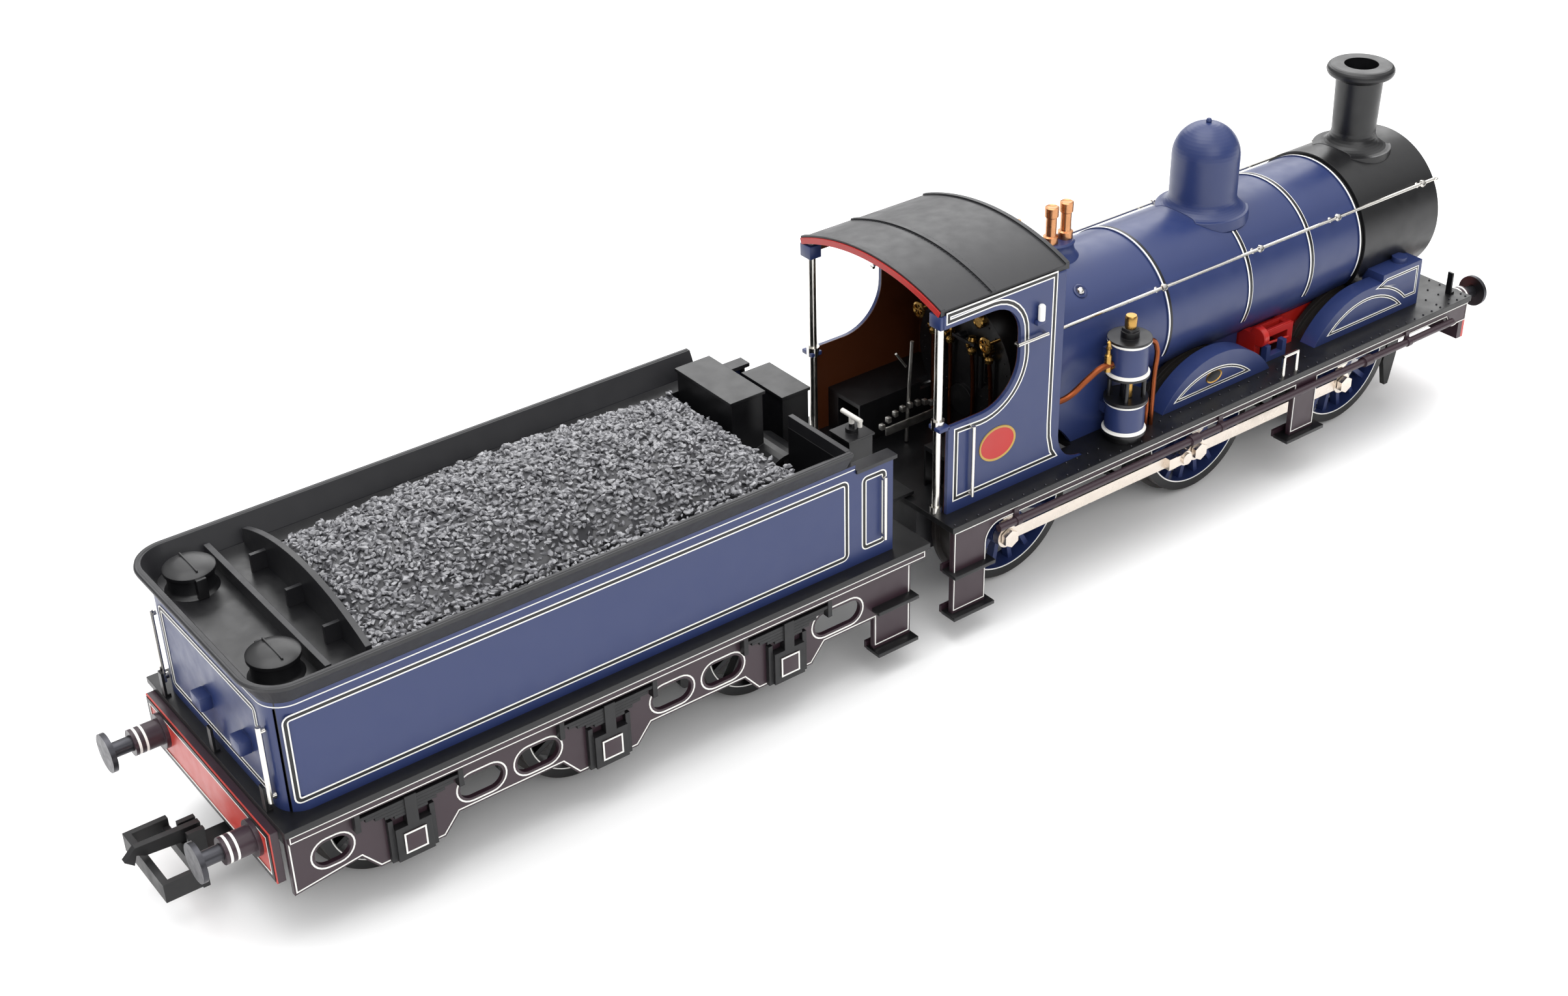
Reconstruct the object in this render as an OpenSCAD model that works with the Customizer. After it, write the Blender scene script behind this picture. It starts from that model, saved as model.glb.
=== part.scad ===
// Scale model (4 mm to the foot, 16.5 mm gauge) of a six-coupled tender locomotive.
// The model faces +X. z = 0 is the level of the wheel flanges, the lowest points of the model.
// Distances along the length are taken from the driving (middle) axle and shifted by datum_x.

/* [Running gear] */
// Diameter of the coupled wheels over the tread
driver_d = 20; // [19:0.2:20.4]
// Diameter of the tender wheels over the tread
tender_wheel_d = 16; // [14:0.5:16.5]
// Distance from the front axle to the driving axle
front_wheelbase = 30; // [29:0.5:31]
// Distance from the driving axle to the rear axle
rear_wheelbase = 35; // [34:0.5:36]
// Distance between neighbouring tender axles
tender_wheelbase = 25.2; // [24:0.2:26]
// Throw of the cranks
crank_throw = 3.2; // [2.6:0.1:3.4]
// Angle of the right-hand cranks, from +X towards +Z
crank_angle = -115; // [-180:5:180]
// Number of spokes in a coupled wheel
driver_spokes = 18; // [12:1:20]
// Number of spokes in a tender wheel
tender_spokes = 12; // [8:1:14]

/* [Locomotive body] */
// Diameter of the boiler over its clothing
boiler_d = 20.6; // [20:0.2:21]
// Height of the boiler's centre line
boiler_z = 27.9; // [27.6:0.1:28.4]
// Height of the chimney above the smokebox
chimney_h = 11.7; // [9:0.3:14]
// Height of the dome above the boiler
dome_h = 11.4; // [9:0.3:13]
// Width over the cab sides
cab_w = 27.2; // [26.6:0.1:28]
// Height of the cab above the footplate, at its sides
cab_h = 28.4; // [26:0.2:30]
// Width of the footplate
footplate_w = 33.2; // [32:0.2:33.6]

/* [Tender] */
// Width over the tender's tank
tank_w = 30.6; // [29:0.2:31]
// Height of the tank above the tender's footplate
tank_h = 14; // [12:0.5:16]
// How far the top edge of the coping flares outwards
coping_flare = 1.4; // [0.8:0.1:1.6]
// Height of the coal heap above the tank's top
coal_h = 5; // [3:0.5:7]

/* [Buffers and couplings] */
// Distance between the centres of a pair of buffers
buffer_spacing = 23; // [22:0.5:24]
// Travel of the sprung buffer heads
buffer_travel = 1.5; // [0.5:0.1:1.8]

/* [Hidden] */
$fn = 64;

// Wheels and track
flange_h = 0.65;
flange_w = 0.7;
wheel_w = 2.8;
wheel_in = 7.2;
boss_w = 3.1;
axle_r = 1.5;
tender_axle_r = 1;
running_gap = 0.05;
pin_r = 0.7;
driver_z = driver_d / 2 + flange_h;
tender_axle_z = tender_wheel_d / 2 + flange_h;
front_x = front_wheelbase;
rear_x = -rear_wheelbase;
crank_axles = [front_x, 0, rear_x];
tender_mid_x = -101.2;
tender_axles = [tender_mid_x + tender_wheelbase, tender_mid_x, tender_mid_x - tender_wheelbase];
left_crank = crank_angle + 90;
arch_r = driver_d / 2 + flange_h + 0.95;
arch_t = 0.6;

// Coupling rods
rod_y = 10.55;
rod_t = 1;
rod_h = 1.7;
knuckle_x = -2.8;

// Levels and lengths of the locomotive
plate_z = 16.2;
plate_t = 0.8;
deck_z = plate_z + plate_t;
plate_front = 49.6;
plate_rear = -50.3;
boiler_r = boiler_d / 2;
smokebox_r = boiler_r + 0.5;
smokebox_x = 31;
smokebox_front = 46.8;
cab_front = -30.2;
cab_rear = -48.8;
roof_rear = -50.2;
cab_y = cab_w / 2;
cab_top = deck_z + cab_h;
sheet_t = 0.6;
roof_rise = 2.6;
roof_y = cab_y - 0.2;
roof_r = (roof_y * roof_y + roof_rise * roof_rise) / (2 * roof_rise);
splasher_y = 13;
rail_d = boiler_r + 1.43;
rail_angle = 32.5;
rail_y = rail_d * cos(rail_angle);
rail_z = boiler_z + rail_d * sin(rail_angle);
knobs = [-8.7, 9.6, 25.2, 43.2];
bands = [-29.6, -7.3, 8.1, 20.4, 30.6];
chassis_y = 6.4;
dome_x = 8.4;
chimney_x = 39.1;
motor_z = 17.45;
motor_rear = -29;
motor_front = -7;
gear_teeth = 24;
gear_r = 4.7;
hatch_x = [-30.2, 20];
hatch_y = 5.6;
pump_x = -18.2;
pump_y = boiler_r + 3.2;
pipe_y = footplate_w / 2 + 0.31;

// Levels and lengths of the tender
tender_front = -54.5;
tender_rear = -140.7;
tender_y = 17.2;
tank_y = tank_w / 2;
tank_front = -64.6;
tank_rear = -139.4;
tank_top = deck_z + tank_h;
tank_r = 3;
coping_h = 2.7;
filler_x = -135.8;
frame_y = 15.4;
frame_t = 0.6;
hopper_x = [-127, -66];
hopper_y = 12.3;
hopper_z = 24;

// Buffers, drawbar and coupling
buffer_z = 13.5;
buffer_y = buffer_spacing / 2;
buffer_reach = 6.9;
beam_front = 50.6;
beam_rear = -141.7;
head_r = 2.3;
head_t = 0.6;
stock_l = 3.9;
shank_r = 0.9;
bar_pin = [-45, -63.5];
bar_z = 5.2;
coupling_pin = -138.2;
coupling_z = 4.6;
hook_pivot = [-144.6, 8.2];
hook_tip = -152.4;
datum_x = -(beam_front + buffer_reach + hook_tip) / 2;

// Placing and simple shapes
module at_part() { translate([datum_x, 0, 0]) children(); }
module both_sides() { children(); mirror([0, 1, 0]) children(); }
module block(x, y, z) { translate([x[0], y[0], z[0]]) cube([x[1] - x[0], y[1] - y[0], z[1] - z[0]]); }
module rod_along_x(x, y, z, r) { translate([x[0], y, z]) rotate([0, 90, 0]) cylinder(h = x[1] - x[0], r = r); }
module rod_along_y(x, y, z, r) { translate([x, y[0], z]) rotate([-90, 0, 0]) cylinder(h = y[1] - y[0], r = r); }
module post(x, y, z, r) { translate([x, y, z[0]]) cylinder(h = z[1] - z[0], r = r); }
// A flat outline in the x-z plane, given thickness along y
module side_plate(y) { translate([0, y[1], 0]) rotate([90, 0, 0]) linear_extrude(height = y[1] - y[0]) children(); }
// A flat outline in the y-z plane, given thickness along x
module cross_plate(x) {
    translate([x[0], 0, 0]) rotate([90, 0, 90]) linear_extrude(height = x[1] - x[0]) children();
}
function arc(cx, cy, r, a0, a1, n) = [for (i = [0:n]) let (a = a0 + (a1 - a0) * i / n) [cx + r * cos(a), cy + r * sin(a)]];
function crank(x, angle) = [x + crank_throw * cos(angle), driver_z + crank_throw * sin(angle)];

// ---- Wheels and axles ----
module spoked_wheel(r, spokes, hub_r, bore_r) {
    difference() {
        union() {
            difference() {
                union() {
                    cylinder(h = flange_w, r = r + flange_h);
                    cylinder(h = wheel_w, r = r);
                }
                translate([0, 0, -1]) cylinder(h = wheel_w + 2, r = r - 1.4);
            }
            cylinder(h = boss_w, r = hub_r);
            for (i = [0:spokes - 1]) rotate(i * 360 / spokes)
                translate([hub_r - 0.6, -0.35, 0.8]) cube([r - hub_r - 0.4, 0.7, 1.2]);
            children();
        }
        translate([0, 0, -1]) cylinder(h = boss_w + 2, r = bore_r);
    }
}
module crank_wheel(x, angle) {
    translate([x, -wheel_in, driver_z]) rotate([90, 0, 0]) difference() {
        spoked_wheel(driver_d / 2, driver_spokes, 2.3, axle_r)
            rotate(angle) translate([crank_throw, 0, 0.8]) cylinder(h = boss_w - 0.8, r = 1.6);
        rotate(angle) translate([crank_throw, 0, 1.4]) cylinder(h = boss_w, r = pin_r);
    }
}
module wheel_pair(x) {
    crank_wheel(x, crank_angle);
    mirror([0, 1, 0]) crank_wheel(x, left_crank);
}
module crank_pin(x, angle) {
    p = crank(x, angle);
    rod_along_y(p[0], [-(rod_y + rod_t + 0.1), -(wheel_in + 1.4)], p[1], pin_r);
    translate([p[0], -(rod_y + rod_t + 0.1), p[1]]) rotate([90, 30, 0]) cylinder(h = 0.8, r = 1.25, $fn = 6);
}
module axle_and_pins(x) {
    rod_along_y(x, [-(wheel_in + boss_w), wheel_in + boss_w], driver_z, axle_r);
    crank_pin(x, crank_angle);
    mirror([0, 1, 0]) crank_pin(x, left_crank);
}
module gear_outline(r, teeth) {
    step = 360 / teeth;
    polygon([for (i = [0:teeth - 1]) for (p = [[r - 0.3, -0.3], [r + 0.25, -0.12], [r + 0.25, 0.12], [r - 0.3, 0.3]])
        [p[0] * cos((i + p[1]) * step), p[0] * sin((i + p[1]) * step)]]);
}
module front_wheels() { color("#25306b") at_part() wheel_pair(front_x); }
module driving_wheels() { color("#25306b") at_part() wheel_pair(0); }
module rear_wheels() { color("#25306b") at_part() wheel_pair(rear_x); }
module front_axle() { color("silver") at_part() axle_and_pins(front_x); }
module rear_axle() { color("silver") at_part() axle_and_pins(rear_x); }
module driving_axle() {
    color("silver") at_part() {
        axle_and_pins(0);
        translate([0, 2, driver_z]) rotate([90, 0, 0]) difference() {
            linear_extrude(height = 4) gear_outline(gear_r, gear_teeth);
            translate([0, 0, -1]) cylinder(h = 6, r = axle_r);
        }
    }
}
module tender_wheelset(x) {
    color("#1b1b1f") at_part() {
        both_sides() translate([x, -wheel_in, tender_axle_z]) rotate([90, 0, 0])
            spoked_wheel(tender_wheel_d / 2, tender_spokes, 1.9, tender_axle_r);
        rod_along_y(x, [-(wheel_in + boss_w + 0.6), wheel_in + boss_w + 0.6], tender_axle_z, tender_axle_r);
    }
}
module tender_wheelset_front() { tender_wheelset(tender_axles[0]); }
module tender_wheelset_middle() { tender_wheelset(tender_axles[1]); }
module tender_wheelset_rear() { tender_wheelset(tender_axles[2]); }

// ---- Coupling rods, modelled on the right-hand side and mirrored for the left ----
module rod_eye(x, z) {
    rod_along_y(x, [-(rod_y + rod_t), -rod_y], z, 1.6);
    block([x - 0.7, x + 0.7], [-(rod_y + rod_t - 0.1), -(rod_y + 0.1)], [z + 1.2, z + 2]);
}
module front_rod(angle) {
    p = crank(0, angle);
    difference() {
        union() {
            rod_eye(p[0], p[1]);
            rod_eye(p[0] + front_wheelbase, p[1]);
            block([p[0], p[0] + front_wheelbase], [-(rod_y + rod_t - 0.1), -(rod_y + 0.1)],
                [p[1] - rod_h / 2, p[1] + rod_h / 2]);
            block([p[0] + knuckle_x, p[0]], [-(rod_y + rod_t), -rod_y], [p[1] - 0.6, p[1] + 0.6]);
            rod_along_y(p[0] + knuckle_x, [-(rod_y + rod_t), -rod_y], p[1], 1.15);
        }
        for (x = [p[0], p[0] + front_wheelbase])
            rod_along_y(x, [-20, -5], p[1], pin_r + running_gap);
        rod_along_y(p[0] + knuckle_x, [-20, -5], p[1], 0.5 + running_gap);
    }
}
module rear_rod(angle) {
    p = crank(0, angle);
    step_x = p[0] + knuckle_x - 3.2;
    lug = [-(rod_y + rod_t + 0.75), -(rod_y + rod_t + 0.1)];
    difference() {
        union() {
            rod_eye(p[0] - rear_wheelbase, p[1]);
            block([p[0] - rear_wheelbase, step_x + 1.4], [-(rod_y + rod_t - 0.1), -(rod_y + 0.1)],
                [p[1] - rod_h / 2, p[1] + rod_h / 2]);
            block([step_x, step_x + 1.4], [lug[0], -(rod_y + 0.1)], [p[1] - rod_h / 2, p[1] + rod_h / 2]);
            block([step_x, p[0] + knuckle_x], lug, [p[1] - 0.8, p[1] + 0.8]);
            rod_along_y(p[0] + knuckle_x, lug, p[1], 1.1);
        }
        rod_along_y(p[0] - rear_wheelbase, [-20, -5], p[1], pin_r + running_gap);
    }
    rod_along_y(p[0] + knuckle_x, [lug[0] - 0.35, -(rod_y + 0.05)], p[1], 0.5);
    rod_along_y(p[0] + knuckle_x, [lug[0] - 0.35, lug[0]], p[1], 0.85);
}
module front_rod_right() { color("#d8cdb4") at_part() front_rod(crank_angle); }
module front_rod_left() { color("#d8cdb4") at_part() mirror([0, 1, 0]) front_rod(left_crank); }
module rear_rod_right() { color("#d8cdb4") at_part() rear_rod(crank_angle); }
module rear_rod_left() { color("#d8cdb4") at_part() mirror([0, 1, 0]) rear_rod(left_crank); }

// ---- Locomotive chassis ----
module chassis_block() {
    color("#3a3a3c") at_part() {
        difference() {
            union() {
                block([-47.5, 47], [-chassis_y, chassis_y], [7, plate_z]);
                block([17, 19.4], [-2.4, 2.4], [plate_z - 1, motor_z + 1.9]);
            }
            for (x = crank_axles) rod_along_y(x, [-10, 10], driver_z, axle_r + running_gap);
            block([motor_rear - 0.3, motor_front + 0.3], [-5.2, 5.2], [motor_z - 4.2, 20]);
            block([motor_rear - 1.6, motor_front + 6], [-1.4, 1.4], [motor_z - 1.4, 20]);
            block([-5.6, 5.6], [-2.4, 2.4], [0, 20]);
            block([6, 16.6], [-5.1, 5.1], [12.4, 20]);
            block([motor_front - 1, 17.1], [-1.2, 1.2], [motor_z - 2.2, 20]);
            rod_along_x([16, 20], 0, motor_z, 0.75 + running_gap);
        }
        post(bar_pin[0], 0, [bar_z - 0.1, 7], 0.9);
        post(bar_pin[0], 0, [bar_z - 0.9, bar_z - 0.1], 1.6);
    }
}
module brake_hanger(x) {
    side_plate([-9.4, -8.6]) polygon(concat([[x - 0.5, 15.4]], arc(x + 0.1, 6.4, 1, 180, 360, 8), [[x + 0.5, 15.4]]));
}
module keeper_plate() {
    color("#2a2527") at_part() {
        difference() {
            block([-42.5, 45], [-5.4, 5.4], [5.8, 7]);
            block([-6.4, 6.4], [-3, 3], [5, 8]);
            for (x = [-38, -20, 14, 41]) post(x, 0, [5, 8], 0.8);
        }
        both_sides() {
            for (x = [front_x, 0]) {
                brake_hanger(x - driver_d / 2 - 2);
                block([x - driver_d / 2 - 2.6, x - driver_d / 2 - 1.9], [-8.9, 0], [5.2, 5.9]);
            }
            side_plate([-9, -8.2]) polygon([[41.2, 6], [42.2, 1.6], [43, 1.6], [44.2, 7], [44.2, 12], [42.6, 12]]);
            block([42, 44.2], [-8.9, -5.4], [6.2, 7]);
        }
        for (x = [-38, -20, 14, 41]) difference() {
            post(x, 0, [5.2, 5.8], 1.2);
            block([x - 1.3, x + 1.3], [-0.15, 0.15], [5, 5.35]);
        }
    }
}
module motor_can() {
    color("#8c8f94") at_part() difference() {
        intersection() {
            rod_along_x([motor_rear, motor_front], 0, motor_z, 5);
            block([motor_rear - 1, motor_front + 1], [-6, 6], [motor_z - 4.2, motor_z + 4.2]);
        }
        rod_along_x([motor_rear - 1, motor_front + 1], 0, motor_z, 0.75 + running_gap);
    }
}
module motor_shaft() {
    color("#b08d4a") at_part() {
        rod_along_x([motor_rear - 1, 19.2], 0, motor_z, 0.75);
        difference() {
            rod_along_x([-4.6, 4.6], 0, motor_z, 1.5);
            for (i = [-4:4]) translate([i, 0, motor_z]) rotate([0, 90, 0]) difference() {
                cylinder(h = 0.4, r = 2);
                translate([0, 0, -1]) cylinder(h = 3, r = 1.2);
            }
        }
        rod_along_x([7, 15.6], 0, motor_z, 4.5);
    }
}
module inside_motion() {
    color("#a3262a") at_part() difference() {
        union() {
            both_sides() block([11, 31], [-6.5, -5.9], [deck_z, 19.6]);
            // slide bars and their brackets between the two splashers
            both_sides() block([10.95, 12.1], [-9.6, -6.5], [deck_z, 20.6]);
            both_sides() block([17.6, 18.7], [-9.6, -6.5], [deck_z, 20.2]);
            for (y = [-9.6, -8]) both_sides() block([11.2, 18.5], [y, y + 0.7], [19.3, 20.2]);
            block([21.4, 22.4], [-6.4, 6.4], [deck_z, 19.6]);
            both_sides() block([22.4, 30.4], [-4.6, -3.8], [deck_z, 17.9]);
            both_sides() block([22.4, 30.4], [-2.6, -1.8], [deck_z, 17.5]);
        }
        rod_along_x([0, 50], 0, boiler_z, boiler_r + 0.1);
    }
}

// ---- Locomotive footplate and its fittings ----
module wheel_slots(y) {
    for (x = crank_axles) both_sides()
        block([x - driver_d / 2, x + driver_d / 2], [-y, -chassis_y - 0.3], [0, 30]);
}
module footplate() {
    color("#141416") at_part() difference() {
        union() {
            block([plate_rear, plate_front], [-footplate_w / 2, footplate_w / 2], [plate_z, deck_z]);
            // raised frame extensions that carry the front beam
            both_sides() side_plate([-7.4, -6.6]) polygon([[42.2, deck_z], [48.6, deck_z], [42.2, 22.4]]);
        }
        rod_along_x([smokebox_x, smokebox_front + 0.05], 0, boiler_z, smokebox_r + 0.02);
        wheel_slots(10.8);
        block(hatch_x, [-hatch_y, hatch_y], [0, 30]);
    }
}
module step_tread(x, z) {
    block(x, [-17.3, -14.4], [z, z + 0.4]);
    block(x, [-14.8, -14.4], [z + 0.4, z + 1]);
}
module valances() {
    color("#3b2a33") at_part() both_sides() {
        side_plate([-footplate_w / 2 + 0.2, -footplate_w / 2 + 0.9]) polygon(concat(
            [[plate_front - 0.4, plate_z], [plate_front - 0.4, 13.2]], arc(46.4, 13.2 - 1.6 + 3, 1.6, 300, 240, 3),
            [[44.4, 15], [16.7, 15], [16.7, 7], [12, 7], [12, 15], [-42.2, 15]],
            arc(-42.2, 12.6, 2.4, 90, 180, 8), [[-44.6, 4], [-50, 4], [-50, plate_z]]));
        step_tread([10.6, 18], 6.8);
        step_tread([-50.4, -43.8], 9.8);
        step_tread([-50.4, -43.8], 3.6);
    }
}
module train_pipe() {
    color("#3b2a33") at_part() {
        rod_along_x([-43, 45.4], -pipe_y, 14.3, 0.5);
        for (x = [-9, 25.8]) rod_along_x([x, x + 1.6], -pipe_y, 14.3, 0.75);
        for (x = [-40.2, -3.3, 35.1]) {
            rod_along_x([x, x + 0.8], -pipe_y, 14.3, 0.65);
            block([x, x + 0.8], [-pipe_y + 0.2, -footplate_w / 2 + 0.2], [14.3, 15.9]);
        }
    }
}
module splasher(x, span, y, inner) {
    difference() {
        union() {
            intersection() {
                rod_along_y(x, [-y, -inner], driver_z, arch_r + arch_t);
                block([x + span[0], x + span[1]], [-y - 1, 0], [deck_z, 40]);
            }
            children();
        }
        rod_along_y(x, [-y + 0.6, -6.6], driver_z, arch_r);
    }
}
// the splashers over the two leading wheels cover only the outside of the tyres, and the sandbox is wider
splasher_in = 10.4;
sandbox_in = 9.3;
sandbox_x = 33.2;
sandbox_top = 24;
module splashers() {
    color("#25306b") at_part() both_sides() {
        splasher(0, [-20, 20], splasher_y, splasher_in);
        splasher(rear_x, [-cab_rear + rear_x + 20, 20], cab_y - 2.2, 6.7);
        // the sandbox is carried forward from the front splasher
        splasher(front_x, [-20, 0], splasher_y, splasher_in) difference() {
            union() {
                block([front_x, sandbox_x], [-splasher_y, -splasher_in], [deck_z, driver_z + arch_r + arch_t]);
                block([sandbox_x, 41.6], [-splasher_y, -sandbox_in], [deck_z, sandbox_top]);
            }
            rod_along_y(front_x, [-splasher_y + 0.6, -6.6], driver_z, arch_r);
        }
        post(38.6, -11.2, [sandbox_top, sandbox_top + 0.8], 1.1);
        // bracket on the footplate between the two splashers
        block([11.2, 15.2], [-11.6, -10.6], [deck_z, 17.8]);
        for (x = [11.2, 14.4]) block([x, x + 0.8], [-11.6, -10.6], [deck_z, 19.4]);
    }
}
module buffer_stock(x) {
    cylinder(h = 0.6, r = 2.1);
    cylinder(h = stock_l, r = 1.55);
}
module beam_with_stocks(inner, outer, way) {
    difference() {
        union() {
            block([min(inner, outer), max(inner, outer)], [-15.4, 15.4], [9.6, plate_z]);
            both_sides() translate([outer, -buffer_y, buffer_z]) rotate([0, 90 * way, 0]) buffer_stock();
        }
        both_sides() translate([outer - 0.7 * way, -buffer_y, buffer_z]) rotate([0, 90 * way, 0])
            cylinder(h = stock_l + 2, r = shank_r + running_gap);
    }
}
module front_beam() {
    color("#b3202a") at_part() {
        beam_with_stocks(plate_front - 0.4, beam_front, 1);
        block([beam_front, beam_front + 0.4], [-1.2, 1.2], [11.6, 15]);
        block([beam_front + 0.4, beam_front + 2.4], [-0.4, 0.4], [12.2, 13.1]);
        block([beam_front + 1.8, beam_front + 2.6], [-0.4, 0.4], [12.8, 14.4]);
    }
}
module buffer_head(outer, side, way) {
    color("#2b2c2f") at_part() translate([outer + way * buffer_reach, side * buffer_y, buffer_z])
        rotate([0, -90 * way, 0]) {
            cylinder(h = head_t, r = head_r);
            cylinder(h = buffer_reach - 1.4, r = shank_r);
        }
}
module front_buffer_right() { buffer_head(beam_front, -1, 1); }
module front_buffer_left() { buffer_head(beam_front, 1, 1); }
module rear_buffer_right() { buffer_head(beam_rear, -1, -1); }
module rear_buffer_left() { buffer_head(beam_rear, 1, -1); }
module lamp_iron(x, y) {
    block([x, x + 0.9], [y - 0.45, y + 0.45], [deck_z, deck_z + 0.3]);
    block([x, x + 0.3], [y - 0.45, y + 0.45], [deck_z, deck_z + 3.4]);
}
module lamp_irons() {
    color("#1b1b1f") at_part() {
        for (y = [-14, 0, 14]) lamp_iron(47.4, y);
        both_sides() {
            post(9.8, -15.9, [deck_z, 20.2], 0.22);
            post(12.4, -15.9, [deck_z, 20.2], 0.22);
            rod_along_x([9.58, 12.62], -15.9, 20.2, 0.22);
        }
    }
}

// ---- Boiler, smokebox and their mountings ----
module wheel_arches() {
    // the rear splasher stands inside the firebox; the two leading wheels only need room to turn
    both_sides() rod_along_y(rear_x, [-splasher_y, -6.6], driver_z, arch_r + arch_t + 0.02);
    for (x = [0, front_x]) both_sides() rod_along_y(x, [-splasher_y, -6.6], driver_z, driver_d / 2 + flange_h + 0.3);
}
module boiler() {
    color("#25306b") at_part() difference() {
        union() {
            rod_along_x([cab_front, smokebox_x], 0, boiler_z, boiler_r);
            block([cab_front, -13.4], [-boiler_r, boiler_r], [deck_z, boiler_z]);
            block([-13.4, smokebox_x], [-6.4, 6.4], [deck_z + 0.6, boiler_z - 3]);
        }
        rod_along_x([cab_front + 1, smokebox_x - 1], 0, boiler_z, boiler_r - 0.8);
        block([cab_front + 1, -14.4], [-boiler_r + 0.8, boiler_r - 0.8], [10, boiler_z]);
        block([hatch_x[0], hatch_x[1] + 0.6], [-hatch_y, hatch_y], [10, boiler_z - 4]);
        block([10.8, smokebox_x + 1], [-6.6, 6.6], [10, 19.7]);
        wheel_arches();
    }
}
module boiler_bands() {
    color("#e6e6e2") at_part() difference() {
        union() for (x = bands) rod_along_x([x - 0.5, x + 0.35], 0, boiler_z, boiler_r + 0.15);
        rod_along_x([cab_front - 1, smokebox_x + 1], 0, boiler_z, boiler_r);
        block([cab_front - 1, smokebox_x + 1], [-12, 12], [10, boiler_z - 4.4]);
        block([cab_front - 1, -13], [-12, 12], [10, boiler_z]);
        post(dome_x, 0, [boiler_z, 60], 6.5);
    }
}
module smokebox() {
    color("#141416") at_part() difference() {
        union() {
            rod_along_x([smokebox_x, smokebox_front], 0, boiler_z, smokebox_r);
            block([smokebox_x + 1, smokebox_front - 0.4], [-6.4, 6.4], [deck_z, boiler_z - 4]);
        }
        rod_along_x([smokebox_x - 1, smokebox_front - 1], 0, boiler_z, smokebox_r - 1);
        block([smokebox_x - 1, smokebox_front + 1], [-20, 20], [0, deck_z]);
        wheel_arches();
        // the sandboxes stand beside it
        both_sides() block([sandbox_x - 0.02, 41.62], [-splasher_y, -sandbox_in], [deck_z, sandbox_top + 0.02]);
    }
}
module smokebox_door() {
    color("#1b1b1f") at_part() {
        rod_along_x([smokebox_front, smokebox_front + 0.5], 0, boiler_z, 8.6);
        rod_along_x([smokebox_front + 0.5, smokebox_front + 0.9], 0, boiler_z, 7);
        for (z = [-3, 3]) block([smokebox_front + 0.9, smokebox_front + 1.2], [0, 8], [boiler_z + z - 0.5, boiler_z + z + 0.5]);
        rod_along_x([smokebox_front + 0.9, smokebox_front + 2.2], 0, boiler_z, 0.4);
        translate([smokebox_front + 1.9, 0, boiler_z]) rotate([0, 90, 0]) rotate_extrude()
            translate([1.6, 0]) circle(r = 0.2, $fn = 24);
        block([smokebox_front + 1.75, smokebox_front + 2.05], [-1.6, 1.6], [boiler_z - 0.15, boiler_z + 0.15]);
    }
}
module chimney() {
    base = boiler_z + smokebox_r;
    color("#25306b") at_part() translate([chimney_x, 0, 0]) difference() {
        rotate_extrude() polygon(concat([[2.4, base - 2.2], [5.6, base - 2.2], [5.5, base - 0.5]],
            arc(5.5, base + 1.9, 2.4, 262, 180, 8),
            [[3.3, base + chimney_h - 2.2], [3.7, base + chimney_h - 1.9]],
            arc(3.95, base + chimney_h - 0.95, 0.8, -90, 90, 8), [[2.4, base + chimney_h - 0.15]]));
        rod_along_x([-10, 10], 0, boiler_z, smokebox_r);
    }
}
module dome() {
    base = boiler_z + boiler_r;
    top = base + dome_h;
    r = 4.6;
    color("#25306b") at_part() translate([dome_x, 0, 0]) difference() {
        rotate_extrude() polygon(concat([[0, base - 2], [6.5, base - 2], [6.3, base - 0.7]],
            arc(6.7, base + 1.4, 2.1, 258, 180, 8), arc(0, top - r, r, 0, 90, 14)));
        rod_along_x([-10, 10], 0, boiler_z, boiler_r);
    }
}
module safety_valves() {
    crown = boiler_z + boiler_r;
    color("#c9a24e") at_part() {
        difference() {
            hull() {
                for (x = [-21, -16.2]) for (y = [-1.6, 1.6]) post(x, y, [crown - 2, crown + 1.6], 1.2);
                for (x = [-20.6, -16.6]) for (y = [-1.3, 1.3]) post(x, y, [crown + 1.6, crown + 2.2], 1.2);
            }
            rod_along_x([-30, -10], 0, boiler_z, boiler_r);
        }
        for (x = [-19.9, -17.3]) {
            post(x, 0, [crown + 2.2, crown + 6.6], 0.68);
            post(x, 0, [crown + 2.2, crown + 3.1], 0.95);
            post(x, 0, [crown + 6, crown + 7.2], 0.9);
        }
        post(-25.8, 0, [crown, crown + 4], 0.5);
        post(-25.8, 0, [crown + 4, crown + 6.6], 0.85);
        post(-25.8, 0, [crown + 6.6, crown + 7.1], 0.4);
    }
}
module boiler_handrails() {
    color("#c9c7c0") at_part() both_sides() {
        rod_along_x([cab_front, smokebox_front - 0.8], -rail_y, rail_z, 0.3);
        for (x = knobs) {
            r = x > smokebox_x ? smokebox_r : boiler_r;
            translate([x, 0, boiler_z]) rotate([90 - rail_angle, 0, 0]) {
                translate([0, 0, r - 0.02]) cylinder(h = rail_d - r, r = 0.28);
                translate([0, 0, rail_d]) rotate([0, 90, 0]) translate([0, 0, -0.5]) cylinder(h = 1, r = 0.5);
            }
        }
    }
}
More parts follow.
